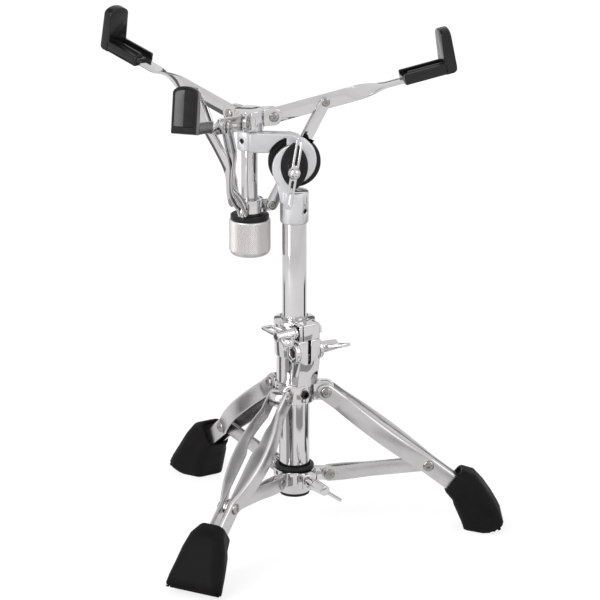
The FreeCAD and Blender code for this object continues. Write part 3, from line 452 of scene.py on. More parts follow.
class Weave:
    """Builds a geometry node tree from short calls."""

    def __init__(self, name: str) -> None:
        """Starts an empty tree.

        Args:
            name: Name of the tree.
        """
        self.tree = bpy.data.node_groups.new(name, "GeometryNodeTree")
        self.tree.interface.new_socket(name="Geometry", in_out="INPUT", socket_type="NodeSocketGeometry")
        self.tree.interface.new_socket(name="Geometry", in_out="OUTPUT", socket_type="NodeSocketGeometry")
        self.entry = self.tree.nodes.new("NodeGroupInput")
        self.sockets: dict[str, str] = {}

    def size(self, name: str, kind: str = "NodeSocketFloat") -> None:
        """Adds a named input."""
        socket = self.tree.interface.new_socket(name=name, in_out="INPUT", socket_type=kind)
        self.sockets[name] = socket.identifier

    def given(self, name: str) -> bpy.types.NodeSocket:
        """The socket of a named input."""
        return self.entry.outputs[name]

    def add(self, kind: str, inputs: Inputs | None = None, **settings: object) -> bpy.types.Node:
        """Adds a node to the tree."""
        return add_node(self.tree, kind, inputs, **settings)

    def calc(self, operation: str, first: object, second: object = 0.0) -> bpy.types.NodeSocket:
        """A math node's result.

        Args:
            operation: Operation of the node.
            first: First value or socket.
            second: Second value or socket.

        Returns:
            The result socket.
        """
        return self.add("ShaderNodeMath", {0: first, 1: second}, operation=operation).outputs[0]

    def curve(self, value: bpy.types.NodeSocket, points: Sequence[Point]) -> bpy.types.NodeSocket:
        """A float curve through points.

        Args:
            value: Socket that is read.
            points: Points of the curve from 0 to 1.

        Returns:
            The result socket.
        """
        node = self.add("ShaderNodeFloatCurve", {"Value": value})
        line = node.mapping.curves[0]
        line.points[0].location = points[0]
        line.points[1].location = points[-1]
        for point in points[1:-1]:
            line.points.new(*point)
        node.mapping.update()
        return node.outputs[0]

    def facing(self) -> bpy.types.NodeSocket:
        """The rotation that turns +Z to the way kept at each point."""
        way = self.add("GeometryNodeInputNamedAttribute", {"Name": "way"}, data_type="FLOAT_VECTOR")
        return self.add("FunctionNodeAlignRotationToVector", {"Vector": way.outputs[0]}, axis="Z").outputs[0]

    def close(self, instance: bpy.types.NodeSocket, rotation: bpy.types.NodeSocket) -> None:
        """Ends the tree: an instance on every point, made real, with its material.

        Args:
            instance: Socket of the mesh that is repeated.
            rotation: Socket of the rotation at each point.
        """
        placed = self.add("GeometryNodeInstanceOnPoints",
                          {"Points": self.given("Geometry"), "Instance": instance, "Rotation": rotation})
        real = self.add("GeometryNodeRealizeInstances", {"Geometry": placed.outputs[0]})
        self.size("Material", "NodeSocketMaterial")
        painted = self.add("GeometryNodeSetMaterial",
                           {"Geometry": real.outputs[0], "Material": self.given("Material")})
        exit_node = self.tree.nodes.new("NodeGroupOutput")
        self.tree.links.new(painted.outputs[0], exit_node.inputs[0])

    def grow(self, name: str, points: Sequence[Vector], ways: Sequence[Vector], sizes: dict[str, float],
             finish: Finish) -> bpy.types.Mesh:
        """Runs the tree on points and returns its plain mesh.

        Args:
            name: Name of the mesh.
            points: Points in millimetres.
            ways: A unit vector at each point.
            sizes: Values of the named inputs.
            finish: Surface of the result.

        Returns:
            The mesh.
        """
        seed = bpy.data.meshes.new(name)
        seed.from_pydata([point * MM for point in points], [], [])
        way = seed.attributes.new("way", "FLOAT_VECTOR", "POINT")
        for item, vector in zip(way.data, ways):
            item.vector = vector
        holder = bpy.data.objects.new(name, seed)
        bpy.context.scene.collection.objects.link(holder)
        modifier = holder.modifiers.new("grow", "NODES")
        modifier.node_group = self.tree
        for key, value in sizes.items():
            modifier[self.sockets[key]] = value
        modifier[self.sockets["Material"]] = finish.material()
        bpy.context.view_layer.update()
        evaluated = holder.evaluated_get(bpy.context.evaluated_depsgraph_get())
        mesh = bpy.data.meshes.new_from_object(evaluated)
        bpy.data.objects.remove(holder)
        bm = bmesh.new()
        bm.from_mesh(mesh)
        tidy(bm)
        bm.to_mesh(mesh)
        bm.free()
        mesh.shade_smooth()
        mesh.set_sharp_from_angle(angle=math.radians(SMOOTH_ANGLE))
        return mesh


class HeadProfile(Enum):
    """Outlines of turned heads, as radius and height shares from the seat to the middle."""

    DOME = (((0.0, 1.0), (0.2, 1.0), (0.45, 0.86), (0.7, 0.5), (0.82, 0.3), (0.92, 0.2), (1.0, 0.0)),
            ((0.0, 0.0), (0.2, 0.3), (0.45, 0.72), (0.7, 1.0), (0.82, 0.96), (0.92, 0.62), (1.0, 0.6)))
    SOCKET = (((0.0, 1.0), (0.3, 1.0), (0.5, 0.9), (0.68, 0.56), (0.8, 0.52), (0.92, 0.5), (1.0, 0.0)),
              ((0.0, 0.0), (0.3, 0.75), (0.5, 1.0), (0.68, 0.98), (0.8, 0.4), (0.92, 0.15), (1.0, 0.12)))


def head_tree(profile: HeadProfile) -> Weave:
    """A tree that puts a turned head on every point, facing the point's way.

    Args:
        profile: Outline of the head.

    Returns:
        The tree, with inputs for the head's radius and height.
    """
    weave = Weave(f"{profile.name.lower()}_heads")
    weave.size("Radius")
    weave.size("Height")
    grid = weave.add("GeometryNodeMeshGrid",
                     {"Size X": 1.0, "Size Y": 1.0, "Vertices X": 29, "Vertices Y": 13})
    place = weave.add("ShaderNodeSeparateXYZ", {0: weave.add("GeometryNodeInputPosition").outputs[0]})
    angle = weave.calc("MULTIPLY", weave.calc("ADD", place.outputs[0], 0.5), 2.0 * math.pi)
    along = weave.calc("ADD", place.outputs[1], 0.5)
    radius = weave.calc("MULTIPLY", weave.curve(along, profile.value[0]), weave.given("Radius"))
    height = weave.calc("MULTIPLY", weave.curve(along, profile.value[1]), weave.given("Height"))
    first = weave.calc("MULTIPLY", radius, weave.calc("COSINE", angle))
    second = weave.calc("MULTIPLY", radius, weave.calc("SINE", angle))
    spot = weave.add("ShaderNodeCombineXYZ", {0: first, 1: second, 2: height})
    head = weave.add("GeometryNodeSetPosition",
                     {"Geometry": grid.outputs["Mesh"], "Position": spot.outputs[0]})
    weave.close(head.outputs[0], weave.facing())
    return weave


def stud_tree(name: str, sides: int) -> Weave:
    """A tree that puts a small pointed or flat-topped stud on every point, facing the point's way.

    Args:
        name: Name of the tree.
        sides: Sides of each stud.

    Returns:
        The tree, with inputs for the stud's foot radius, top radius and height.
    """
    weave = Weave(name)
    for size in ("Radius", "Top", "Height"):
        weave.size(size)
    cone = weave.add("GeometryNodeMeshCone",
                     {"Vertices": sides, "Radius Bottom": weave.given("Radius"),
                      "Radius Top": weave.given("Top"), "Depth": weave.given("Height")}, fill_type="NGON")
    upright = weave.add("FunctionNodeAlignRotationToVector",
                        {"Rotation": weave.facing(), "Vector": UP}, axis="X", pivot_axis="Z")
    weave.close(cone.outputs["Mesh"], upright.outputs[0])
    return weave


def pin_seats(axis: Vector, azimuths: Sequence[tuple[str, float]], radius: float, height: float,
              half: float) -> list[Seat]:
    """Seats of the heads of level pins round an upright axis.

    Args:
        axis: Foot of the axis.
        azimuths: Name and azimuth of each pin's arm or leg.
        radius: Distance of the pins from the axis.
        height: Height of the pins.
        half: Half the length of the pins.

    Returns:
        Seat and way of each head.
    """
    seats = []
    for _, azimuth in azimuths:
        out, side = polar(azimuth)
        centre = axis + out * radius + UP * height
        seats += [(centre + side * (sign * half), side * sign) for sign in (1, -1)]
    return seats


@dataclass
class Heads:
    """Turned heads of the rivets, pins and screws of the stand."""

    domes: Weave = field(default_factory=lambda: head_tree(HeadProfile.DOME))
    sockets: Weave = field(default_factory=lambda: head_tree(HeadProfile.SOCKET))

    @staticmethod
    def put(tree: Weave, name: str, body: str, seats: Sequence[Seat], sizes: Point, nodes: Sequence[str],
            finish: Finish) -> None:
        """Dresses the heads of one body.

        Args:
            tree: Tree of the heads.
            name: Name of the piece.
            body: Body that carries it.
            seats: Seat and way of each head.
            sizes: Radius and height of the heads.
            nodes: Nodes that the heads stand for.
            finish: Their surface.
        """
        points, ways = zip(*seats)
        radius, height = sizes
        mesh = tree.grow(name, points, ways, {"Radius": radius * MM, "Height": height * MM}, finish)
        mount(name, mesh, finish, body, nodes)

    def rivets(self, name: str, body: str, seats: Sequence[Seat], sizes: Point, nodes: Sequence[str]) -> None:
        """Dresses the rivets of one body."""
        self.put(self.domes, name, body, seats, sizes, nodes, RIVET_STEEL)

    def screws(self, name: str, body: str, seats: Sequence[Seat], sizes: Point, nodes: Sequence[str]) -> None:
        """Dresses the socket screws of one body."""
        self.put(self.sockets, name, body, seats, sizes, nodes, DARK_STEEL)


@dataclass
class Column:
    """Base tube, leg collar, height clamp, memory lock and upper tube."""

    screw_seat: float = 19.7
    screw_head: Point = (4.4, 2.8)
    clamp_azimuth: float = -57.0
    bolt_offset: float = 21.7
    lock_bolt_height: float = 225.15
    lock_bolt_reach: float = 36.8
    lock_bolt_end: Point = (2.9, 0.5)

    def build(self, heads: Heads) -> None:
        """Builds and dresses the column.

        Args:
            heads: Trees of the turned heads.
        """
        softened("base_tube_shell", ["base_tube"], CHROME, "base", radius=0.4)
        softened("base_tube_cap", ["base_tube_plug"], BLACK_NYLON, "base", radius=0.8)
        softened("leg_collar_body", ["leg_collar"], CHROME, "base", radius=0.8)
        softened("height_clamp_body", ["height_clamp"], CHROME, "base", radius=0.9)
        softened("clamp_bushing_sleeve", ["clamp_bushing"], BLACK_NYLON, "base", radius=0.4)
        # The clamp bolt's dark finish is painted shade of the clamp's recess around its hex.
        softened("clamp_bolt_hex_painted_shade", ["clamp_bolt"], DARK_STEEL, "base", radius=0.35)
        softened("clamp_wing_handle", ["clamp_wing_nut"], CHROME, "clamp_wing_nut", radius=0.7)
        softened("memory_lock_body", ["memory_lock"], CHROME, "memory_lock", radius=0.9)
        softened("lock_bolt_hex", ["lock_bolt"], CHROME, "memory_lock", radius=0.35)
        softened("lock_wing_handle", ["lock_wing_nut"], CHROME, "lock_wing_nut", radius=0.7)
        softened("upper_tube_shell", ["upper_tube"], CHROME, "upper_tube", radius=0.3)
        out, side = polar(self.clamp_azimuth)
        end = out * self.bolt_offset - side * self.lock_bolt_reach + UP * self.lock_bolt_height
        heads.screws("lock_bolt_end", "memory_lock", [(end, side * -1)], self.lock_bolt_end, [])
        ways = [polar(azimuth + 180.0)[0] for _, azimuth in LAYOUT.leg_azimuths]
        seats = [(way * self.screw_seat + UP * LAYOUT.leg_pivot_height, way) for way in ways]
        heads.screws("leg_collar_screw_heads", "base", seats, self.screw_head, ["leg_collar_screws"])


@dataclass
class Leg:
    """One tripod leg: two pressed plates with inward flanges, rivets, a rubber boot and a brace."""

    name: str
    azimuth: float
    pivot_radius: float = 32.6
    pivot_height: float = LAYOUT.leg_pivot_height
    brace_radius: float = 140.5
    brace_height: float = 70.9
    brace_half: float = 7.75
    brace_thickness: float = 2.2
    brace_apart: float = 4.45
    brace_together: float = 1.25
    plate_inner: float = 8.05
    foot_inner: float = 5.0
    bow_inner: float = 16.0
    thickness: float = 3.0
    half_height: float = 9.0
    fold_radius: float = 3.4
    flange_thickness: float = 2.4
    flange_gap_top: float = 8.0
    # Narrowing, start and length of each step of the gap between the flanges
    flange_steps: tuple[tuple[float, float, float], ...] = ((1.8, 36.0, 10.0), (3.3, 62.0, 16.0))
    rivet_head: Point = (6.0, 2.9)
    rivet_sink: float = 0.1
    straight_top: float = 20.0
    bow_end: float = 136.0
    leg_end: float = 194.2
    foot_start: float = 168.2
    flat_setback: float = 32.0
    toe_slope: float = 0.5
    # Setback and half width of each row of tread blocks
    block_rows: tuple[Point, ...] = ((17.6, 28.6), (22.6, 26.0), (27.6, 23.4))
    blocks_in_row: int = 13
    block_sink: float = 0.3
    block_radius: float = 2.1
    block_top: float = 1.5
    block_height: float = 1.5

    def __post_init__(self) -> None:
        """Works out the leg's own axes."""
        self.out, self.side = polar(self.azimuth)
        outward, downward = self.brace_radius - self.pivot_radius, self.pivot_height - self.brace_height
        self.spread = math.atan2(outward, downward)
        self.along = self.out * math.sin(self.spread) - UP * math.cos(self.spread)
        self.normal = self.out * math.cos(self.spread) + UP * math.sin(self.spread)
        self.pivot = self.out * self.pivot_radius + UP * self.pivot_height
        self.brace_at = math.hypot(outward, downward)
        self.floor_radius = self.pivot_radius + self.pivot_height * math.tan(self.spread)

    def place(self, along: float, lateral: float = 0.0, up: float = 0.0) -> Vector:
        """A point on the leg."""
        return self.pivot + self.along * along + self.side * lateral + self.normal * up

    def upright(self, along: float, up: float) -> Point:
        """Radius and height of a point in the leg's upright middle plane."""
        return (self.pivot_radius + math.sin(self.spread) * along + math.cos(self.spread) * up,
                self.pivot_height - math.cos(self.spread) * along + math.sin(self.spread) * up)

    def inner_face(self, along: float) -> float:
        """Half the gap between the plates.

        Args:
            along: Place along the leg.

        Returns:
            Distance from the leg's middle plane.
        """
        if along <= self.straight_top:
            return self.plate_inner
        if along >= self.bow_end:
            return self.foot_inner
        share = (along - self.straight_top) / (self.bow_end - self.straight_top)
        return ((1 - share) * self.plate_inner + share * self.foot_inner
                + 4.0 * share * (1 - share) * (self.bow_inner - (self.plate_inner + self.foot_inner) / 2))

    def flange_gap(self, along: float) -> float:
        """Half the gap between the flanges, which narrows in steps down the leg.

        Args:
            along: Place along the leg.

        Returns:
            Distance from the leg's middle plane.
        """
        gap = self.flange_gap_top
        for narrowing, start, length in self.flange_steps:
            gap -= narrowing * smooth((along - start) / length)
        return gap

    def plate_ring(self, along: float, sign: int) -> list[Vector]:
        """The section of a plate: an upright wall with a rounded fold to a flange along its top.

        Args:
            along: Place along the leg.
            sign: Side of the leg.

        Returns:
            The section's points.
        """
        inner = self.inner_face(along)
        outer = inner + self.thickness
        half = self.half_height
        least_half, sliver = 0.2, 0.01
        if along < 0.0:
            half = math.sqrt(max(half * half - along * along, least_half ** 2))
        height = 2 * half
        flange = max(outer - inner, outer - self.flange_gap(along))
        wall = self.flange_thickness
        if flange <= outer - inner + sliver:
            wall = min(wall, height - 0.1)
        fold = min(self.fold_radius, height / 2.4)
        reach = max(flange, fold + sliver)
        points = [(0.0, -half), (0.0, 0.0), (0.0, half - fold)]
        points += [(fold * (1 - math.cos(turn)), half - fold * (1 - math.sin(turn)))
                   for turn in (math.pi / 2 * i / 4 for i in range(1, 5))]
        points += [(reach, half), (reach, half - wall), (self.thickness, min(half - wall, half - fold)),
                   (self.thickness, 0.0), (self.thickness, -half)]
        return [self.place(along, sign * (outer - depth), up) for depth, up in points]

    def plates(self) -> None:
        """Builds the two plates."""
        stations = [-8.9, -8.0, -6.5, -4.5, -2.0] + [i * 4.0 for i in range(49)] + [self.leg_end]
        for sign, mark in ((1, "a"), (-1, "b")):
            bm = bmesh.new()
            skin(bm, [self.plate_ring(along, sign) for along in stations])
            tidy(bm)
            soften(bm, radius=0.35, segments=2, angle=50.0)
            dress(f"leg_{self.name}_plate_{mark}", bm, PRESSED_CHROME, f"leg_{self.name}",
                  [f"leg_plate_{self.name}_{mark}"], angle=32.0)

    def boot_ring(self, heel: Point, heel_half: float, toe: Point, toe_half: float,
                  corner: float) -> list[Vector]:
        """A rounded four-sided ring across the boot.

        Args:
            heel: Radius and height of the heel's middle.
            heel_half: Half width at the heel.
            toe: Radius and height of the toe's middle.
            toe_half: Half width at the toe.
            corner: Corner radius.

        Returns:
            The ring's points.
        """
        length = math.dist(heel, toe)
        corners = [(0.0, -heel_half), (length, -toe_half), (length, toe_half), (0.0, heel_half)]
        points = []
        for i, point in enumerate(corners):
            here = Vector(point)
            back = (Vector(corners[i - 1]) - here).normalized()
            onward = (Vector(corners[(i + 1) % 4]) - here).normalized()
            half_angle = back.angle(onward) / 2
            reach = corner / math.tan(half_angle)
            middle = here + (back + onward).normalized() * (corner / math.sin(half_angle))
            start, end = here + back * reach - middle, here + onward * reach - middle
            points += [middle + start.lerp(end, step / 6).normalized() * corner for step in range(7)]
        rise = ((toe[0] - heel[0]) / length, (toe[1] - heel[1]) / length)
        long_side, parts = 6.0, 5
        ring = []
        for point, following in zip(points, points[1:] + points[:1]):
            for i in range(parts if (following - point).length > long_side else 1):
                spot = point.lerp(following, i / parts)
                radius, height = heel[0] + rise[0] * spot[0], heel[1] + rise[1] * spot[0]
                ring.append(self.out * radius + self.side * spot[1] + UP * height)
        return ring

    def sole_height(self, point: Vector) -> float:
        """Height of the sole, which is flat at the heel and rises to the toe."""
        return max(0.0, point.dot(self.out) - (self.floor_radius - self.flat_setback)) * self.toe_slope

    def boot(self) -> None:
        """Builds the rubber boot with its rolled collar and its raised toe."""
        spot, floor, start = self.upright, self.floor_radius, self.foot_start
        # Heel, half width at the heel, toe, half width at the toe and corner radius, from the collar down
        keys = [
            (spot(start + 3.0, -8.6), 10.6, spot(start + 3.0, 14.6), 10.6, 5.0),
            (spot(start + 0.2, -9.4), 11.6, spot(start + 0.2, 15.6), 11.6, 6.0),
            (spot(start - 0.4, -11.4), 13.4, spot(start - 0.4, 17.6), 13.4, 7.6),
            (spot(start + 1.4, -12.4), 14.6, spot(start + 1.4, 18.8), 14.6, 8.4),
            (spot(start + 13.0, -15.2), 15.2, (floor - 42.4, 61.0), 21.5, 11.0),
            ((floor - 64.4, 27.0), 15.6, (floor - 31.6, 48.0), 29.0, 12.5),
            ((floor - 60.2, 17.5), 15.8, (floor - 22.6, 34.0), 33.2, 12.5),
            ((floor - 56.4, 9.0), 15.8, (floor - 15.8, 20.5), 35.4, 10.0),
            ((floor - 54.4, 3.4), 15.2, (floor - 12.6, 13.0), 35.6, 8.0),
            ((floor - 53.8, 0.9), 14.4, (floor - 13.4, 9.8), 34.8, 7.0),
            ((floor - 52.4, 0.0), 13.2, (floor - 15.4, 8.4), 33.2, 6.4),
        ]
        rings = [self.boot_ring(*key) for key in keys]
        sole = rings[-1]
        for ring in rings[-3:]:
            lift = 0.0 if ring is sole else min(point.z for point in ring)
            for point in ring:
                point.z = self.sole_height(point) + lift
        middle = sum(sole, Vector()) / len(sole)
        for share in (0.7, 0.35):
            inner = [middle.lerp(point, share) for point in sole]
            for point in inner:
                point.z = self.sole_height(point)
            rings.append(inner)
        bm = bmesh.new()
        skin(bm, rings)
        tidy(bm)
        dress(f"foot_{self.name}_boot", bm, FOOT_RUBBER, f"leg_{self.name}", [f"foot_{self.name}"],
              angle=50.0)

    def tread(self, studs: Weave) -> None:
        """Adds the tread blocks along the boot's toe.

        Args:
            studs: Tree of the tread blocks.
        """
        down = (self.out * self.toe_slope - UP).normalized()
        last = self.blocks_in_row - 1
        shares = [2.0 * i / last - 1.0 for i in range(self.blocks_in_row)]
        points = []
        for setback, half in self.block_rows:
            height = (self.flat_setback - setback) * self.toe_slope + self.block_sink
            middle = self.out * (self.floor_radius - setback) + UP * height
            points += [middle + self.side * (half * share) for share in shares]
        sizes = {"Radius": self.block_radius * MM, "Top": self.block_top * MM,
                 "Height": self.block_height * MM}
        mesh = studs.grow(f"foot_{self.name}_tread", points, [down] * len(points), sizes, FOOT_RUBBER)
        mount(f"foot_{self.name}_tread", mesh, FOOT_RUBBER, f"leg_{self.name}")

    def brace(self) -> None:
        """Builds the brace: two straps that part over the spreader's ear and run together to the leg."""
        hub = self.out * LAYOUT.brace_hub_radius + UP * LAYOUT.brace_hub_height
        pin = self.out * self.brace_radius + UP * self.brace_height
        closing = self.brace_apart - self.brace_together
        bend_start, bend_length = 0.14, 0.3  # shares of the brace's length
        bm = bmesh.new()
        paired_straps(bm, hub, pin, self.side, self.brace_half, self.brace_thickness,
                      lambda share: self.brace_apart - closing * smooth((share - bend_start) / bend_length),
                      lambda share: 0.0)
        tidy(bm, MERGE / 4)
        dress(f"brace_{self.name}_straps", bm, PRESSED_CHROME, f"brace_{self.name}",
              [f"brace_{self.name}"], angle=36.0)

    def build(self, heads: Heads, studs: Weave) -> None:
        """Builds and dresses the leg.

        Args:
            heads: Trees of the turned heads.
            studs: Tree of the tread blocks.
        """
        self.plates()
        self.boot()
        self.tread(studs)
        self.brace()
        seats = []
        for along in (0.0, self.brace_at):
            for sign in (1, -1):
                seat = self.inner_face(along) + self.thickness - self.rivet_sink
                seats.append((self.place(along, sign * seat), self.side * sign))
        heads.rivets(f"leg_{self.name}_rivet_heads", f"leg_{self.name}", seats, self.rivet_head,
                     [f"leg_rivets_{self.name}"])


@dataclass
class Spreader:
    """Sliding collar of the braces, with its bush, rivets and wing bolt."""

    bore: float = 16.05
    top: float = 69.1
    bush_radius: float = 20.5
    bush_height: float = 4.5
    ear_half: float = 5.65
    rivet_head: Point = (5.8, 1.6)

    def build(self, heads: Heads) -> None:
        """Builds and dresses the spreader.

        Args:
            heads: Trees of the turned heads.
        """
        softened("spreader_casting", ["spreader_collar"], CHROME, "spreader", radius=1.0)
        softened("spreader_wing_handle", ["spreader_wing_bolt"], CHROME, "spreader_wing_bolt", radius=0.7)
        bm = bmesh.new()
        middle, half = (self.bore + self.bush_radius) / 2, (self.bush_radius - self.bore) / 2
        profile = [(middle + half * math.cos(turn), self.bush_height / 2 * (1 + math.sin(turn)))
                   for turn in (2 * math.pi * i / 16 for i in range(16))]
        lathe(bm, profile, UP * self.top, UP, segments=64, looped=True)
        tidy(bm)
        dress("spreader_bush_ring", bm, BLACK_NYLON, "spreader", ["spreader_bush"], angle=60.0)
        seats = pin_seats(Vector(), LAYOUT.leg_azimuths, LAYOUT.brace_hub_radius, LAYOUT.brace_hub_height,
                          self.ear_half)
        heads.rivets("spreader_rivet_heads", "spreader", seats, self.rivet_head, ["spreader_rivets"])


@dataclass
class Tilter:
    """Tilter base, disc, pad, stud, nuts and the upper casting that carries the basket."""

    height: float = 399.4
    disc_radius: float = 27.0
    disc_front: float = 4.4
    disc_back: float = 11.2
    stud_radius: float = 4.05
    groove_count: int = 3
    groove_start: float = 2.2
    groove_pitch: float = 1.1
    groove_depth: float = 0.25

    def build(self) -> None:
        """Builds and dresses the tilter."""
        softened("tilter_base_casting", ["tilter_base"], SATIN_CASTING, "upper_tube", radius=1.3, segments=3)
        softened("tilter_base_grub", ["tilter_base_screw"], DARK_STEEL, "upper_tube", radius=0.2)
        softened("tilter_pad", ["brake_pad"], BLACK_NYLON, "upper_tube", radius=1.0, segments=3)
        softened("tilter_stud_bolt", ["tilter_stud"], CHROME, "upper_tube", radius=0.4)
        softened("tilter_hex_nut", ["tilter_nut"], DARK_STEEL, "upper_tube", radius=0.5)
        softened("tilter_wing_handle", ["tilter_wing_nut"], CHROME, "tilter_wing_nut", radius=0.8)
        softened("basket_holder_casting", ["basket_holder"], SATIN_CASTING, "basket", radius=1.4, segments=3)
        softened("basket_holder_grub", ["basket_holder_screw"], DARK_STEEL, "basket", radius=0.2)
        bm = bmesh.new()
        radius, depth = self.disc_radius, self.disc_back - self.disc_front
        bottom = radius - self.groove_depth
        profile = [(self.stud_radius, 0.0), (radius - 5.0, 0.0), (radius - 1.6, 0.25), (radius - 0.5, 0.9),
                   (radius, 2.0)]
        for groove in range(self.groove_count):
            start = self.groove_start + groove * self.groove_pitch
            profile += [(radius, start), (bottom, start + 0.2), (bottom, start + 0.5), (radius, start + 0.7)]
        profile += [(radius, depth - 1.2), (radius - 0.5, depth - 0.4), (radius - 1.4, depth),
                    (self.stud_radius, depth)]
        lathe(bm, profile, Vector((0.0, self.disc_front, self.height)), Vector((0.0, 1.0, 0.0)),
              segments=96, looped=True)
        tidy(bm)
        dress("tilter_disc", bm, BLACK_NYLON, "upper_tube", ["brake_disc"])


@dataclass
class Basket:
    """Rod, hub, spider, washer and knurled nut of the basket."""

    axis: Vector = field(default_factory=LAYOUT.basket_axis)
    lug_half: float = 6.15
    lug_pin_head: Point = (5.0, 1.8)
    spider_half: float = 4.25
    spider_rivet_head: Point = (4.5, 1.6)
    nut_bore: float = 8.7
    nut_radius: float = 21.5
    nut_top: float = 336.7
    nut_height: float = 38.0
    nut_skin: float = 0.55
    nut_edge: float = 5.0
    nut_crown: float = 4.2
    knurl_columns: int = 60
    knurl_rows: int = 28
    knurl_start: float = 2.0
    knurl_margin: float = 7.4
    knurl_sink: float = 0.6
    point_radius: float = 1.12
    point_top: float = 0.25
    point_height: float = 0.6

    def knurl(self, cones: Weave) -> None:
        """Builds the knurled nut.

        Args:
            cones: Tree of the knurl's points.
        """
        radius, height = self.nut_radius, self.nut_height
        wall, edge = radius - self.nut_skin, height - self.nut_edge
        profile = [(self.nut_bore, 0.0), (radius - 2.2, 0.0), (radius - 1.0, 0.5), (wall, 1.4), (wall, edge)]
        profile += [(wall - self.nut_crown * (1 - math.cos(turn)), edge + self.nut_edge * math.sin(turn))
                    for turn in map(math.radians, (20.0, 40.0, 60.0, 75.0, 90.0))]
        profile += [(self.nut_bore, height)]
        bm = bmesh.new()
        lathe(bm, profile, self.axis + UP * self.nut_top, UP * -1, segments=96, looped=True)
        tidy(bm)
        dress("basket_nut_body", bm, KNURLED_CHROME, "basket_nut", ["basket_nut"])
        pitch = (height - self.knurl_margin) / self.knurl_rows
        points, ways = [], []
        for row in range(self.knurl_rows + 1):
            level = self.nut_top - self.knurl_start - row * pitch
            for column in range(self.knurl_columns):
                angle = 2 * math.pi * (column + 0.5 * (row % 2)) / self.knurl_columns
                way = Vector((math.cos(angle), math.sin(angle), 0.0))
                points.append(self.axis + way * (radius - self.knurl_sink) + UP * level)
                ways.append(way)
        sizes = {"Radius": self.point_radius * MM, "Top": self.point_top * MM,
                 "Height": self.point_height * MM}
        mesh = cones.grow("basket_nut_knurl", points, ways, sizes, KNURLED_CHROME)
        mount("basket_nut_knurl", mesh, KNURLED_CHROME, "basket_nut")

    def build(self, heads: Heads, cones: Weave) -> None:
        """Builds and dresses the basket's middle.

        Args:
            heads: Trees of the turned heads.
            cones: Tree of the knurl's points.
        """
        softened("basket_rod_bar", ["basket_rod"], CHROME, "basket", radius=0.6)
        softened("basket_hub_casting", ["basket_hub"], CHROME, "basket", radius=0.9)
        softened("basket_spider_casting", ["basket_spider"], CHROME, "basket_spider", radius=0.8)
        softened("basket_washer_ring", ["basket_washer"], BLACK_NYLON, "basket_spider", radius=0.9,
                 segments=3)
        heads.rivets("basket_hub_pin_heads", "basket",
                     pin_seats(self.axis, LAYOUT.arm_azimuths, LAYOUT.arm_pivot_radius,
                               LAYOUT.arm_pivot_height, self.lug_half),
                     self.lug_pin_head, ["basket_hub_pins"])
        heads.rivets("basket_spider_rivet_heads", "basket_spider",
                     pin_seats(self.axis, LAYOUT.arm_azimuths, LAYOUT.spider_pin_radius,
                               LAYOUT.spider_pin_height, self.spider_half),
                     self.spider_rivet_head, ["basket_spider_rivets"])
        self.knurl(cones)


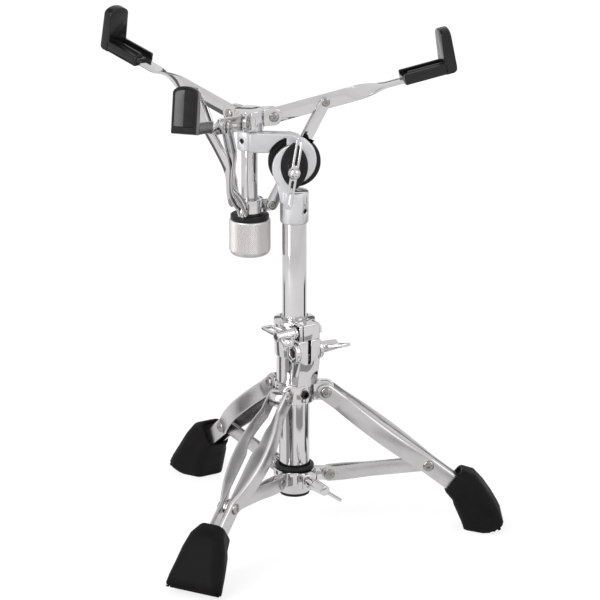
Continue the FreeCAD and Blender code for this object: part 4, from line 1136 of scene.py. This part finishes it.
@dataclass
class BasketArm:
    """One basket arm with its grip and its link."""

    name: str
    azimuth: float
    rise: float = 11.8
    thickness: float = 3.0
    width: float = 16.0
    twist_start: float = 75.0
    twist_end: float = 124.0
    twist_turn: float = -90.0
    length: float = 188.8
    grip_start: float = 140.8
    grip_end: float = 197.3
    grip_half: float = 12.7
    grip_low: float = 2.8
    grip_high: float = 8.7
    grip_rim: float = 3.6
    channel_floor: float = 4.5
    rod_half: float = 4.0
    rod_height: float = 3.4
    upright_thickness: float = 13.5
    upright_taper: float = 0.075
    shoulder: float = 36.7
    crown: float = 7.0
    link_along: float = 56.2
    link_bow: float = 7.0
    link_half: float = 5.5
    link_thickness: float = 2.5
    link_apart: float = 3.05
    link_together: float = 1.3
    link_rivet_head: Point = (4.5, 1.6)

    def __post_init__(self) -> None:
        """Works out the arm's own axes."""
        self.out, self.side = polar(self.azimuth)
        angle = math.radians(self.rise)
        self.along = self.out * math.cos(angle) + UP * math.sin(angle)
        self.normal = UP * math.cos(angle) - self.out * math.sin(angle)
        self.axis = LAYOUT.basket_axis()
        self.pivot = self.axis + self.out * LAYOUT.arm_pivot_radius + UP * LAYOUT.arm_pivot_height

    def place(self, along: float, up: float = 0.0, lateral: float = 0.0) -> Vector:
        """A point on the arm."""
        return self.pivot + self.along * along + self.normal * up + self.side * lateral

    def bar(self) -> None:
        """Builds the bar with its round root, its twist and its flat blade."""
        half = self.width / 2
        stations = [-7.9, -7.4, -6.4, -4.8, -2.6, 0.0] + [self.twist_start * i / 6 for i in range(1, 7)]
        stations += [self.twist_start + (self.twist_end - self.twist_start) * i / 28 for i in range(1, 29)]
        stations += [self.grip_start, self.length]
        rings = []
        for along in stations:
            share = (along - self.twist_start) / (self.twist_end - self.twist_start)
            turn = Matrix.Rotation(math.radians(self.twist_turn) * smooth(share), 3, self.along)
            high, wide = turn @ self.normal, turn @ self.side
            reach = math.sqrt(half * half - along * along) if along < 0.0 else half
            outline = rounded_box(reach, self.thickness / 2, 0.7, 3)
            rings.append([self.place(along) + high * up + wide * across for up, across in outline])
        bm = bmesh.new()
        skin(bm, rings)
        tidy(bm)
        dress(f"basket_arm_{self.name}_bar", bm, CHROME, f"basket_arm_{self.name}",
              [f"basket_arm_{self.name}"], angle=34.0)

    def foot_ring(self, along: float, ridge: float, inset: float) -> list[Vector]:
        """A section of the grip's foot: a channel with a round rod along its middle.

        Args:
            along: Place along the arm.
            ridge: Share of the rod's height.
            inset: How far the outline is drawn in.

        Returns:
            The section's points.
        """
        half, low, high = self.grip_half - inset, inset - self.grip_low, self.grip_high - inset
        rim, floor = self.grip_half - self.grip_rim, self.channel_floor
        bend, lip = 1.2, 0.7
        cut = 0.35 * bend
        right = [(half - bend, low), (half - cut, low + cut), (half, low + bend), (half, high - bend),
                 (half - cut, high - cut), (half - bend, high), (rim + lip, high), (rim, high - lip),
                 (rim, floor)]
        rod = [(self.rod_half * math.cos(turn), floor + ridge * self.rod_height * math.sin(turn))
               for turn in (math.pi * i / 12 for i in range(13))]
        left = [(-lateral, up) for lateral, up in reversed(right)]
        return [self.place(along, up, lateral) for lateral, up in right + rod + left]

    def upright_ring(self, share: float, inset: float, depth: float = 0.0) -> list[Vector]:
        """An arched ring of the grip's upright, from its inner face to its outer one.

        Args:
            share: Place through the upright's thickness.
            inset: How far the outline is drawn in.
            depth: Further shift outwards.

        Returns:
            The ring's points.
        """
        bend, bend_start = 5.0, 0.6
        past = max(0.0, (share - bend_start) / (1.0 - bend_start))
        drop = bend - math.sqrt(bend ** 2 - (bend * past) ** 2)
        low, half, top = inset + drop - self.grip_low, self.grip_half - inset, self.shoulder - inset / 2
        sides = [low + (top - low) * i / 5 for i in range(5)]
        outline = [(half, up) for up in sides]
        outline += [(half * math.cos(turn), top + (self.crown - inset / 2) * math.sin(turn))
                    for turn in (math.pi * i / 16 for i in range(17))]
        outline += [(-half, up) for up in reversed(sides)]
        ring = []
        for lateral, up in outline:
            inner = self.grip_end - self.upright_thickness + self.upright_taper * (up + self.grip_low)
            ring.append(self.place(inner + share * (self.grip_end - inner) + depth, up, lateral))
        return ring

    def grip(self) -> None:
        """Builds the grip: a channelled foot and an arched upright with a ridged outer face."""
        bm = bmesh.new()
        start = self.grip_start
        # Place along the grip, share of the rod and inset of each section of the foot
        skin(bm, [self.foot_ring(start + along, ridge, inset) for along, ridge, inset in (
            (0.0, 0.0, 0.9), (0.3, 0.0, 0.35), (1.0, 0.0, 0.0), (5.4, 0.0, 0.0), (5.9, 0.6, 0.0),
            (6.9, 0.92, 0.0), (8.4, 1.0, 0.0), (46.0, 1.0, 0.0))])
        # Share of the thickness and inset of each ring of the upright
        rings = [self.upright_ring(share, inset) for share, inset in (
            (0.0, 0.9), (0.03, 0.3), (0.09, 0.0), (0.6, 0.0), (0.7, 0.0), (0.8, 0.0), (0.88, 0.05),
            (0.95, 0.3), (1.0, 0.9))]
        panel = self.upright_ring(1.0, 2.7, -0.6)
        rings += [self.upright_ring(1.0, 2.2), panel]
        # The outer face rises to a narrow ridge along its middle
        ridge_height, drawn_in = 1.5, 0.97
        rings.append([point - self.side * ((point - self.pivot).dot(self.side) * drawn_in)
                      + self.along * ridge_height for point in panel])
        skin(bm, rings)
        tidy(bm, MERGE / 2)
        dress(f"basket_grip_{self.name}_shell", bm, GRIP_PLASTIC, f"basket_arm_{self.name}",
              [f"basket_grip_{self.name}"], angle=30.0)

    def link(self, heads: Heads) -> None:
        """Builds the link: two straps that part at both ends and meet in the middle.

        Args:
            heads: Trees of the turned heads.
        """
        top = self.place(self.link_along)
        bottom = self.axis + self.out * LAYOUT.spider_pin_radius + UP * LAYOUT.spider_pin_height
        opening = self.link_apart - self.link_together
        # Shares of the length where the straps meet and part again, of each bend and of the bow
        meet, part, bend = 0.12, 0.7, 0.2
        bow_top, bow_fall = 0.25, 0.43

        def apart(share: float) -> float:
            """Distance of a strap from the link's middle."""
            return self.link_together + opening * (1.0 - smooth(min(share - meet, part - share) / bend))

        def bow(share: float) -> float:
            """Sideways bow of both straps below the fork."""
            return -self.link_bow * (smooth(share / bow_top) - smooth((share - bow_top) / bow_fall))

        bm = bmesh.new()
        paired_straps(bm, bottom, top, self.side, self.link_half, self.link_thickness, apart, bow)
        tidy(bm, MERGE / 4)
        dress(f"basket_link_{self.name}_straps", bm, CHROME, f"basket_link_{self.name}",
              [f"basket_link_{self.name}"], angle=36.0)
        seat = self.link_apart + self.link_thickness / 2
        seats = [(top + self.side * (sign * seat), self.side * sign) for sign in (1, -1)]
        heads.rivets(f"basket_link_{self.name}_rivet_heads", f"basket_link_{self.name}", seats,
                     self.link_rivet_head, [f"basket_link_rivets_{self.name}"])

    def build(self, heads: Heads) -> None:
        """Builds and dresses the arm.

        Args:
            heads: Trees of the turned heads.
        """
        self.bar()
        self.grip()
        self.link(heads)


@dataclass
class Studio:
    """Camera, pale floor, soft lamps and dark strips that the chrome mirrors."""

    camera_place: tuple[float, float, float] = (0.00577, -3.1917, 1.2853)
    camera_pitch: float = 72.07
    lens: float = 194.57
    aim: tuple[float, float, float] = (0.0, 0.0, 0.25)
    floor_half: float = 9.0
    card_height: float = 0.003

    def camera(self) -> None:
        """Sets the camera at the photograph's angle."""
        data = bpy.data.cameras.new("camera")
        data.lens = self.lens
        data.sensor_width = 36.0
        data.clip_end = 50.0
        eye = bpy.data.objects.new("camera", data)
        eye.location = self.camera_place
        eye.rotation_euler = (math.radians(self.camera_pitch), 0.0, 0.0)
        bpy.context.scene.collection.objects.link(eye)
        bpy.context.scene.camera = eye

    @staticmethod
    def seen(tree: bpy.types.NodeTree) -> bpy.types.NodeSocket:
        """A factor of 1 for camera, glossy and transmission rays.

        Args:
            tree: Tree of the material or world.

        Returns:
            The factor's socket.
        """
        path = add_node(tree, "ShaderNodeLightPath")
        total = path.outputs["Is Camera Ray"]
        for ray in ("Is Glossy Ray", "Is Transmission Ray"):
            most = add_node(tree, "ShaderNodeMath", {0: total, 1: path.outputs[ray]}, operation="MAXIMUM")
            total = most.outputs[0]
        return total

    def world(self) -> None:
        """Makes a white surrounding that lights the stand softly."""
        world = bpy.data.worlds.new("studio_world")
        bpy.context.scene.world = world
        world.use_nodes = True
        tree = world.node_tree
        white = (1.0, 1.0, 1.0, 1.0)
        shown = tree.nodes["Background"]
        connect(tree, shown, {"Color": white, "Strength": 1.0})
        soft = add_node(tree, "ShaderNodeBackground", {"Color": white, "Strength": 0.5})
        mix = add_node(tree, "ShaderNodeMixShader",
                       {0: self.seen(tree), 1: soft.outputs[0], 2: shown.outputs[0]})
        connect(tree, tree.nodes["World Output"], {"Surface": mix.outputs[0]})

    @staticmethod
    def sheet(name: str, corners: Sequence[Sequence[float]], paint_name: str) -> bpy.types.Object:
        """Adds a flat sheet of four corners with an empty material.

        Args:
            name: Name of the sheet.
            corners: Its corners in metres.
            paint_name: Name of its material.

        Returns:
            The sheet.
        """
        mesh = bpy.data.meshes.new(name)
        mesh.from_pydata(corners, [], [(0, 1, 2, 3)])
        paint = bpy.data.materials.new(paint_name)
        paint.use_nodes = True
        paint.node_tree.nodes.remove(paint.node_tree.nodes["Principled BSDF"])
        mesh.materials.append(paint)
        sheet = bpy.data.objects.new(name, mesh)
        bpy.context.scene.collection.objects.link(sheet)
        return sheet

    def floor(self) -> None:
        """Makes the pale floor, white to the camera and darker only in the stand's shadow."""
        half = self.floor_half
        corners = [(-half, -half, 0.0), (half, -half, 0.0), (half, half, 0.0), (-half, half, 0.0)]
        floor = self.sheet("studio_floor", corners, "studio_floor_white")
        tree = floor.data.materials[0].node_tree
        plain = add_node(tree, "ShaderNodeBsdfDiffuse", {"Color": (0.8, 0.8, 0.8, 1.0)})
        shade = add_node(tree, "ShaderNodeBsdfDiffuse", {"Color": (0.3, 0.3, 0.3, 1.0)})
        glow = add_node(tree, "ShaderNodeEmission", {"Strength": 0.8})
        both = add_node(tree, "ShaderNodeAddShader", {0: shade.outputs[0], 1: glow.outputs[0]})
        mix = add_node(tree, "ShaderNodeMixShader",
                       {0: self.seen(tree), 1: plain.outputs[0], 2: both.outputs[0]})
        connect(tree, tree.nodes["Material Output"], {"Surface": mix.outputs[0]})

    def lamp(self, name: str, place: Vector, power: float, size: Point, mirrored: bool = True) -> None:
        """Adds a soft lamp that points at the stand.

        Args:
            name: Name of the lamp.
            place: Where it stands, in metres.
            power: Watts.
            size: Width and height in metres.
            mirrored: Whether reflections show it.
        """
        data = bpy.data.lights.new(name, "AREA")
        data.energy = power
        data.shape = "RECTANGLE"
        data.size, data.size_y = size
        lamp = bpy.data.objects.new(name, data)
        lamp.location = place
        lamp.rotation_euler = (Vector(self.aim) - place).to_track_quat("-Z", "Y").to_euler()
        lamp.visible_glossy = mirrored
        bpy.context.scene.collection.objects.link(lamp)

    def card(self, name: str, corners: Sequence[Sequence[float]], grey: float) -> None:
        """Adds a dark card that only reflections show.

        Args:
            name: Name of the card.
            corners: Its corners in metres.
            grey: Its tone.
        """
        card = self.sheet(name, corners, f"{name}_tone")
        tree = card.data.materials[0].node_tree
        glow = add_node(tree, "ShaderNodeEmission", {"Color": (grey, grey, grey, 1.0)})
        connect(tree, tree.nodes["Material Output"], {"Surface": glow.outputs[0]})
        card.visible_camera = False
        card.visible_diffuse = False
        card.visible_shadow = False

    def wedge(self, name: str, low: float, high: float, near: float, far: float, grey: float) -> None:
        """Adds a dark wedge on the floor, which the stand's upright walls mirror.

        Args:
            name: Name of the wedge.
            low: Azimuth of its first side in degrees from +X.
            high: Azimuth of its second side.
            near: Distance of its near end from the stand in metres.
            far: Distance of its far end.
            grey: Its tone.
        """
        (first, _), (second, _) = polar(low), polar(high)
        corners = ((first, near), (first, far), (second, far), (second, near))
        self.card(name, [way * reach + UP * self.card_height for way, reach in corners], grey)

    def build(self) -> None:
        """Sets the whole studio."""
        bpy.context.scene.view_settings.view_transform = "Standard"
        self.camera()
        self.world()
        self.floor()
        self.lamp("key_lamp", Vector((-1.7, -1.9, 2.6)), power=34.0, size=(1.6, 1.6))
        self.lamp("fill_lamp", Vector((2.3, -1.4, 1.8)), power=16.0, size=(1.8, 1.8))
        self.lamp("rim_lamp", Vector((0.6, 2.2, 2.4)), power=14.0, size=(1.6, 1.6), mirrored=False)
        self.lamp("side_lamp", Vector((-1.6, -1.45, 0.75)), power=14.0, size=(0.45, 1.3))
        self.wedge("left_wedge", 233.0, 244.0, near=0.24, far=0.75, grey=0.05)
        self.wedge("right_wedge", 8.0, 32.0, near=0.24, far=1.3, grey=0.08)
        self.wedge("far_wedge", 150.0, 172.0, near=0.24, far=1.3, grey=0.2)
        self.wedge("near_left_wedge", 205.0, 262.0, near=0.1, far=0.5, grey=0.42)
        self.wedge("near_right_wedge", 282.0, 335.0, near=0.3, far=0.52, grey=0.42)
        self.card("back_band", [(-1.6, 1.8, 0.62), (1.6, 1.8, 0.62), (1.6, 1.8, 0.9), (-1.6, 1.8, 0.9)],
                  grey=0.16)
        self.card("top_card", [(-1.8, -0.5, 2.3), (-0.4, -0.5, 2.3), (-0.4, 1.1, 2.3), (-1.8, 1.1, 2.3)],
                  grey=0.2)


def main() -> None:
    """Builds the studio and every sub-assembly of the stand in order."""
    logging.basicConfig(level=logging.INFO, format="%(message)s")
    Studio().build()
    heads = Heads()
    studs = stud_tree("tread_blocks", 6)
    cones = stud_tree("knurl_points", 4)
    steps: list[tuple[str, Callable[[], None]]] = [
        ("column", lambda: Column().build(heads)),
        ("spreader", lambda: Spreader().build(heads)),
        ("tilter", lambda: Tilter().build()),
        ("basket", lambda: Basket().build(heads, cones)),
    ]
    legs = [Leg(name, azimuth) for name, azimuth in LAYOUT.leg_azimuths]
    steps += [(f"leg {leg.name}", lambda leg=leg: leg.build(heads, studs)) for leg in legs]
    arms = [BasketArm(name, azimuth) for name, azimuth in LAYOUT.arm_azimuths]
    arms[0].link_bow = 0.0  # the right link is straight, clear of the tilter's stud
    steps += [(f"arm {arm.name}", lambda arm=arm: arm.build(heads)) for arm in arms]
    for title, step in steps:
        step()
        LOG.info("finished the %s", title)


if __name__ == "__main__":
    main()
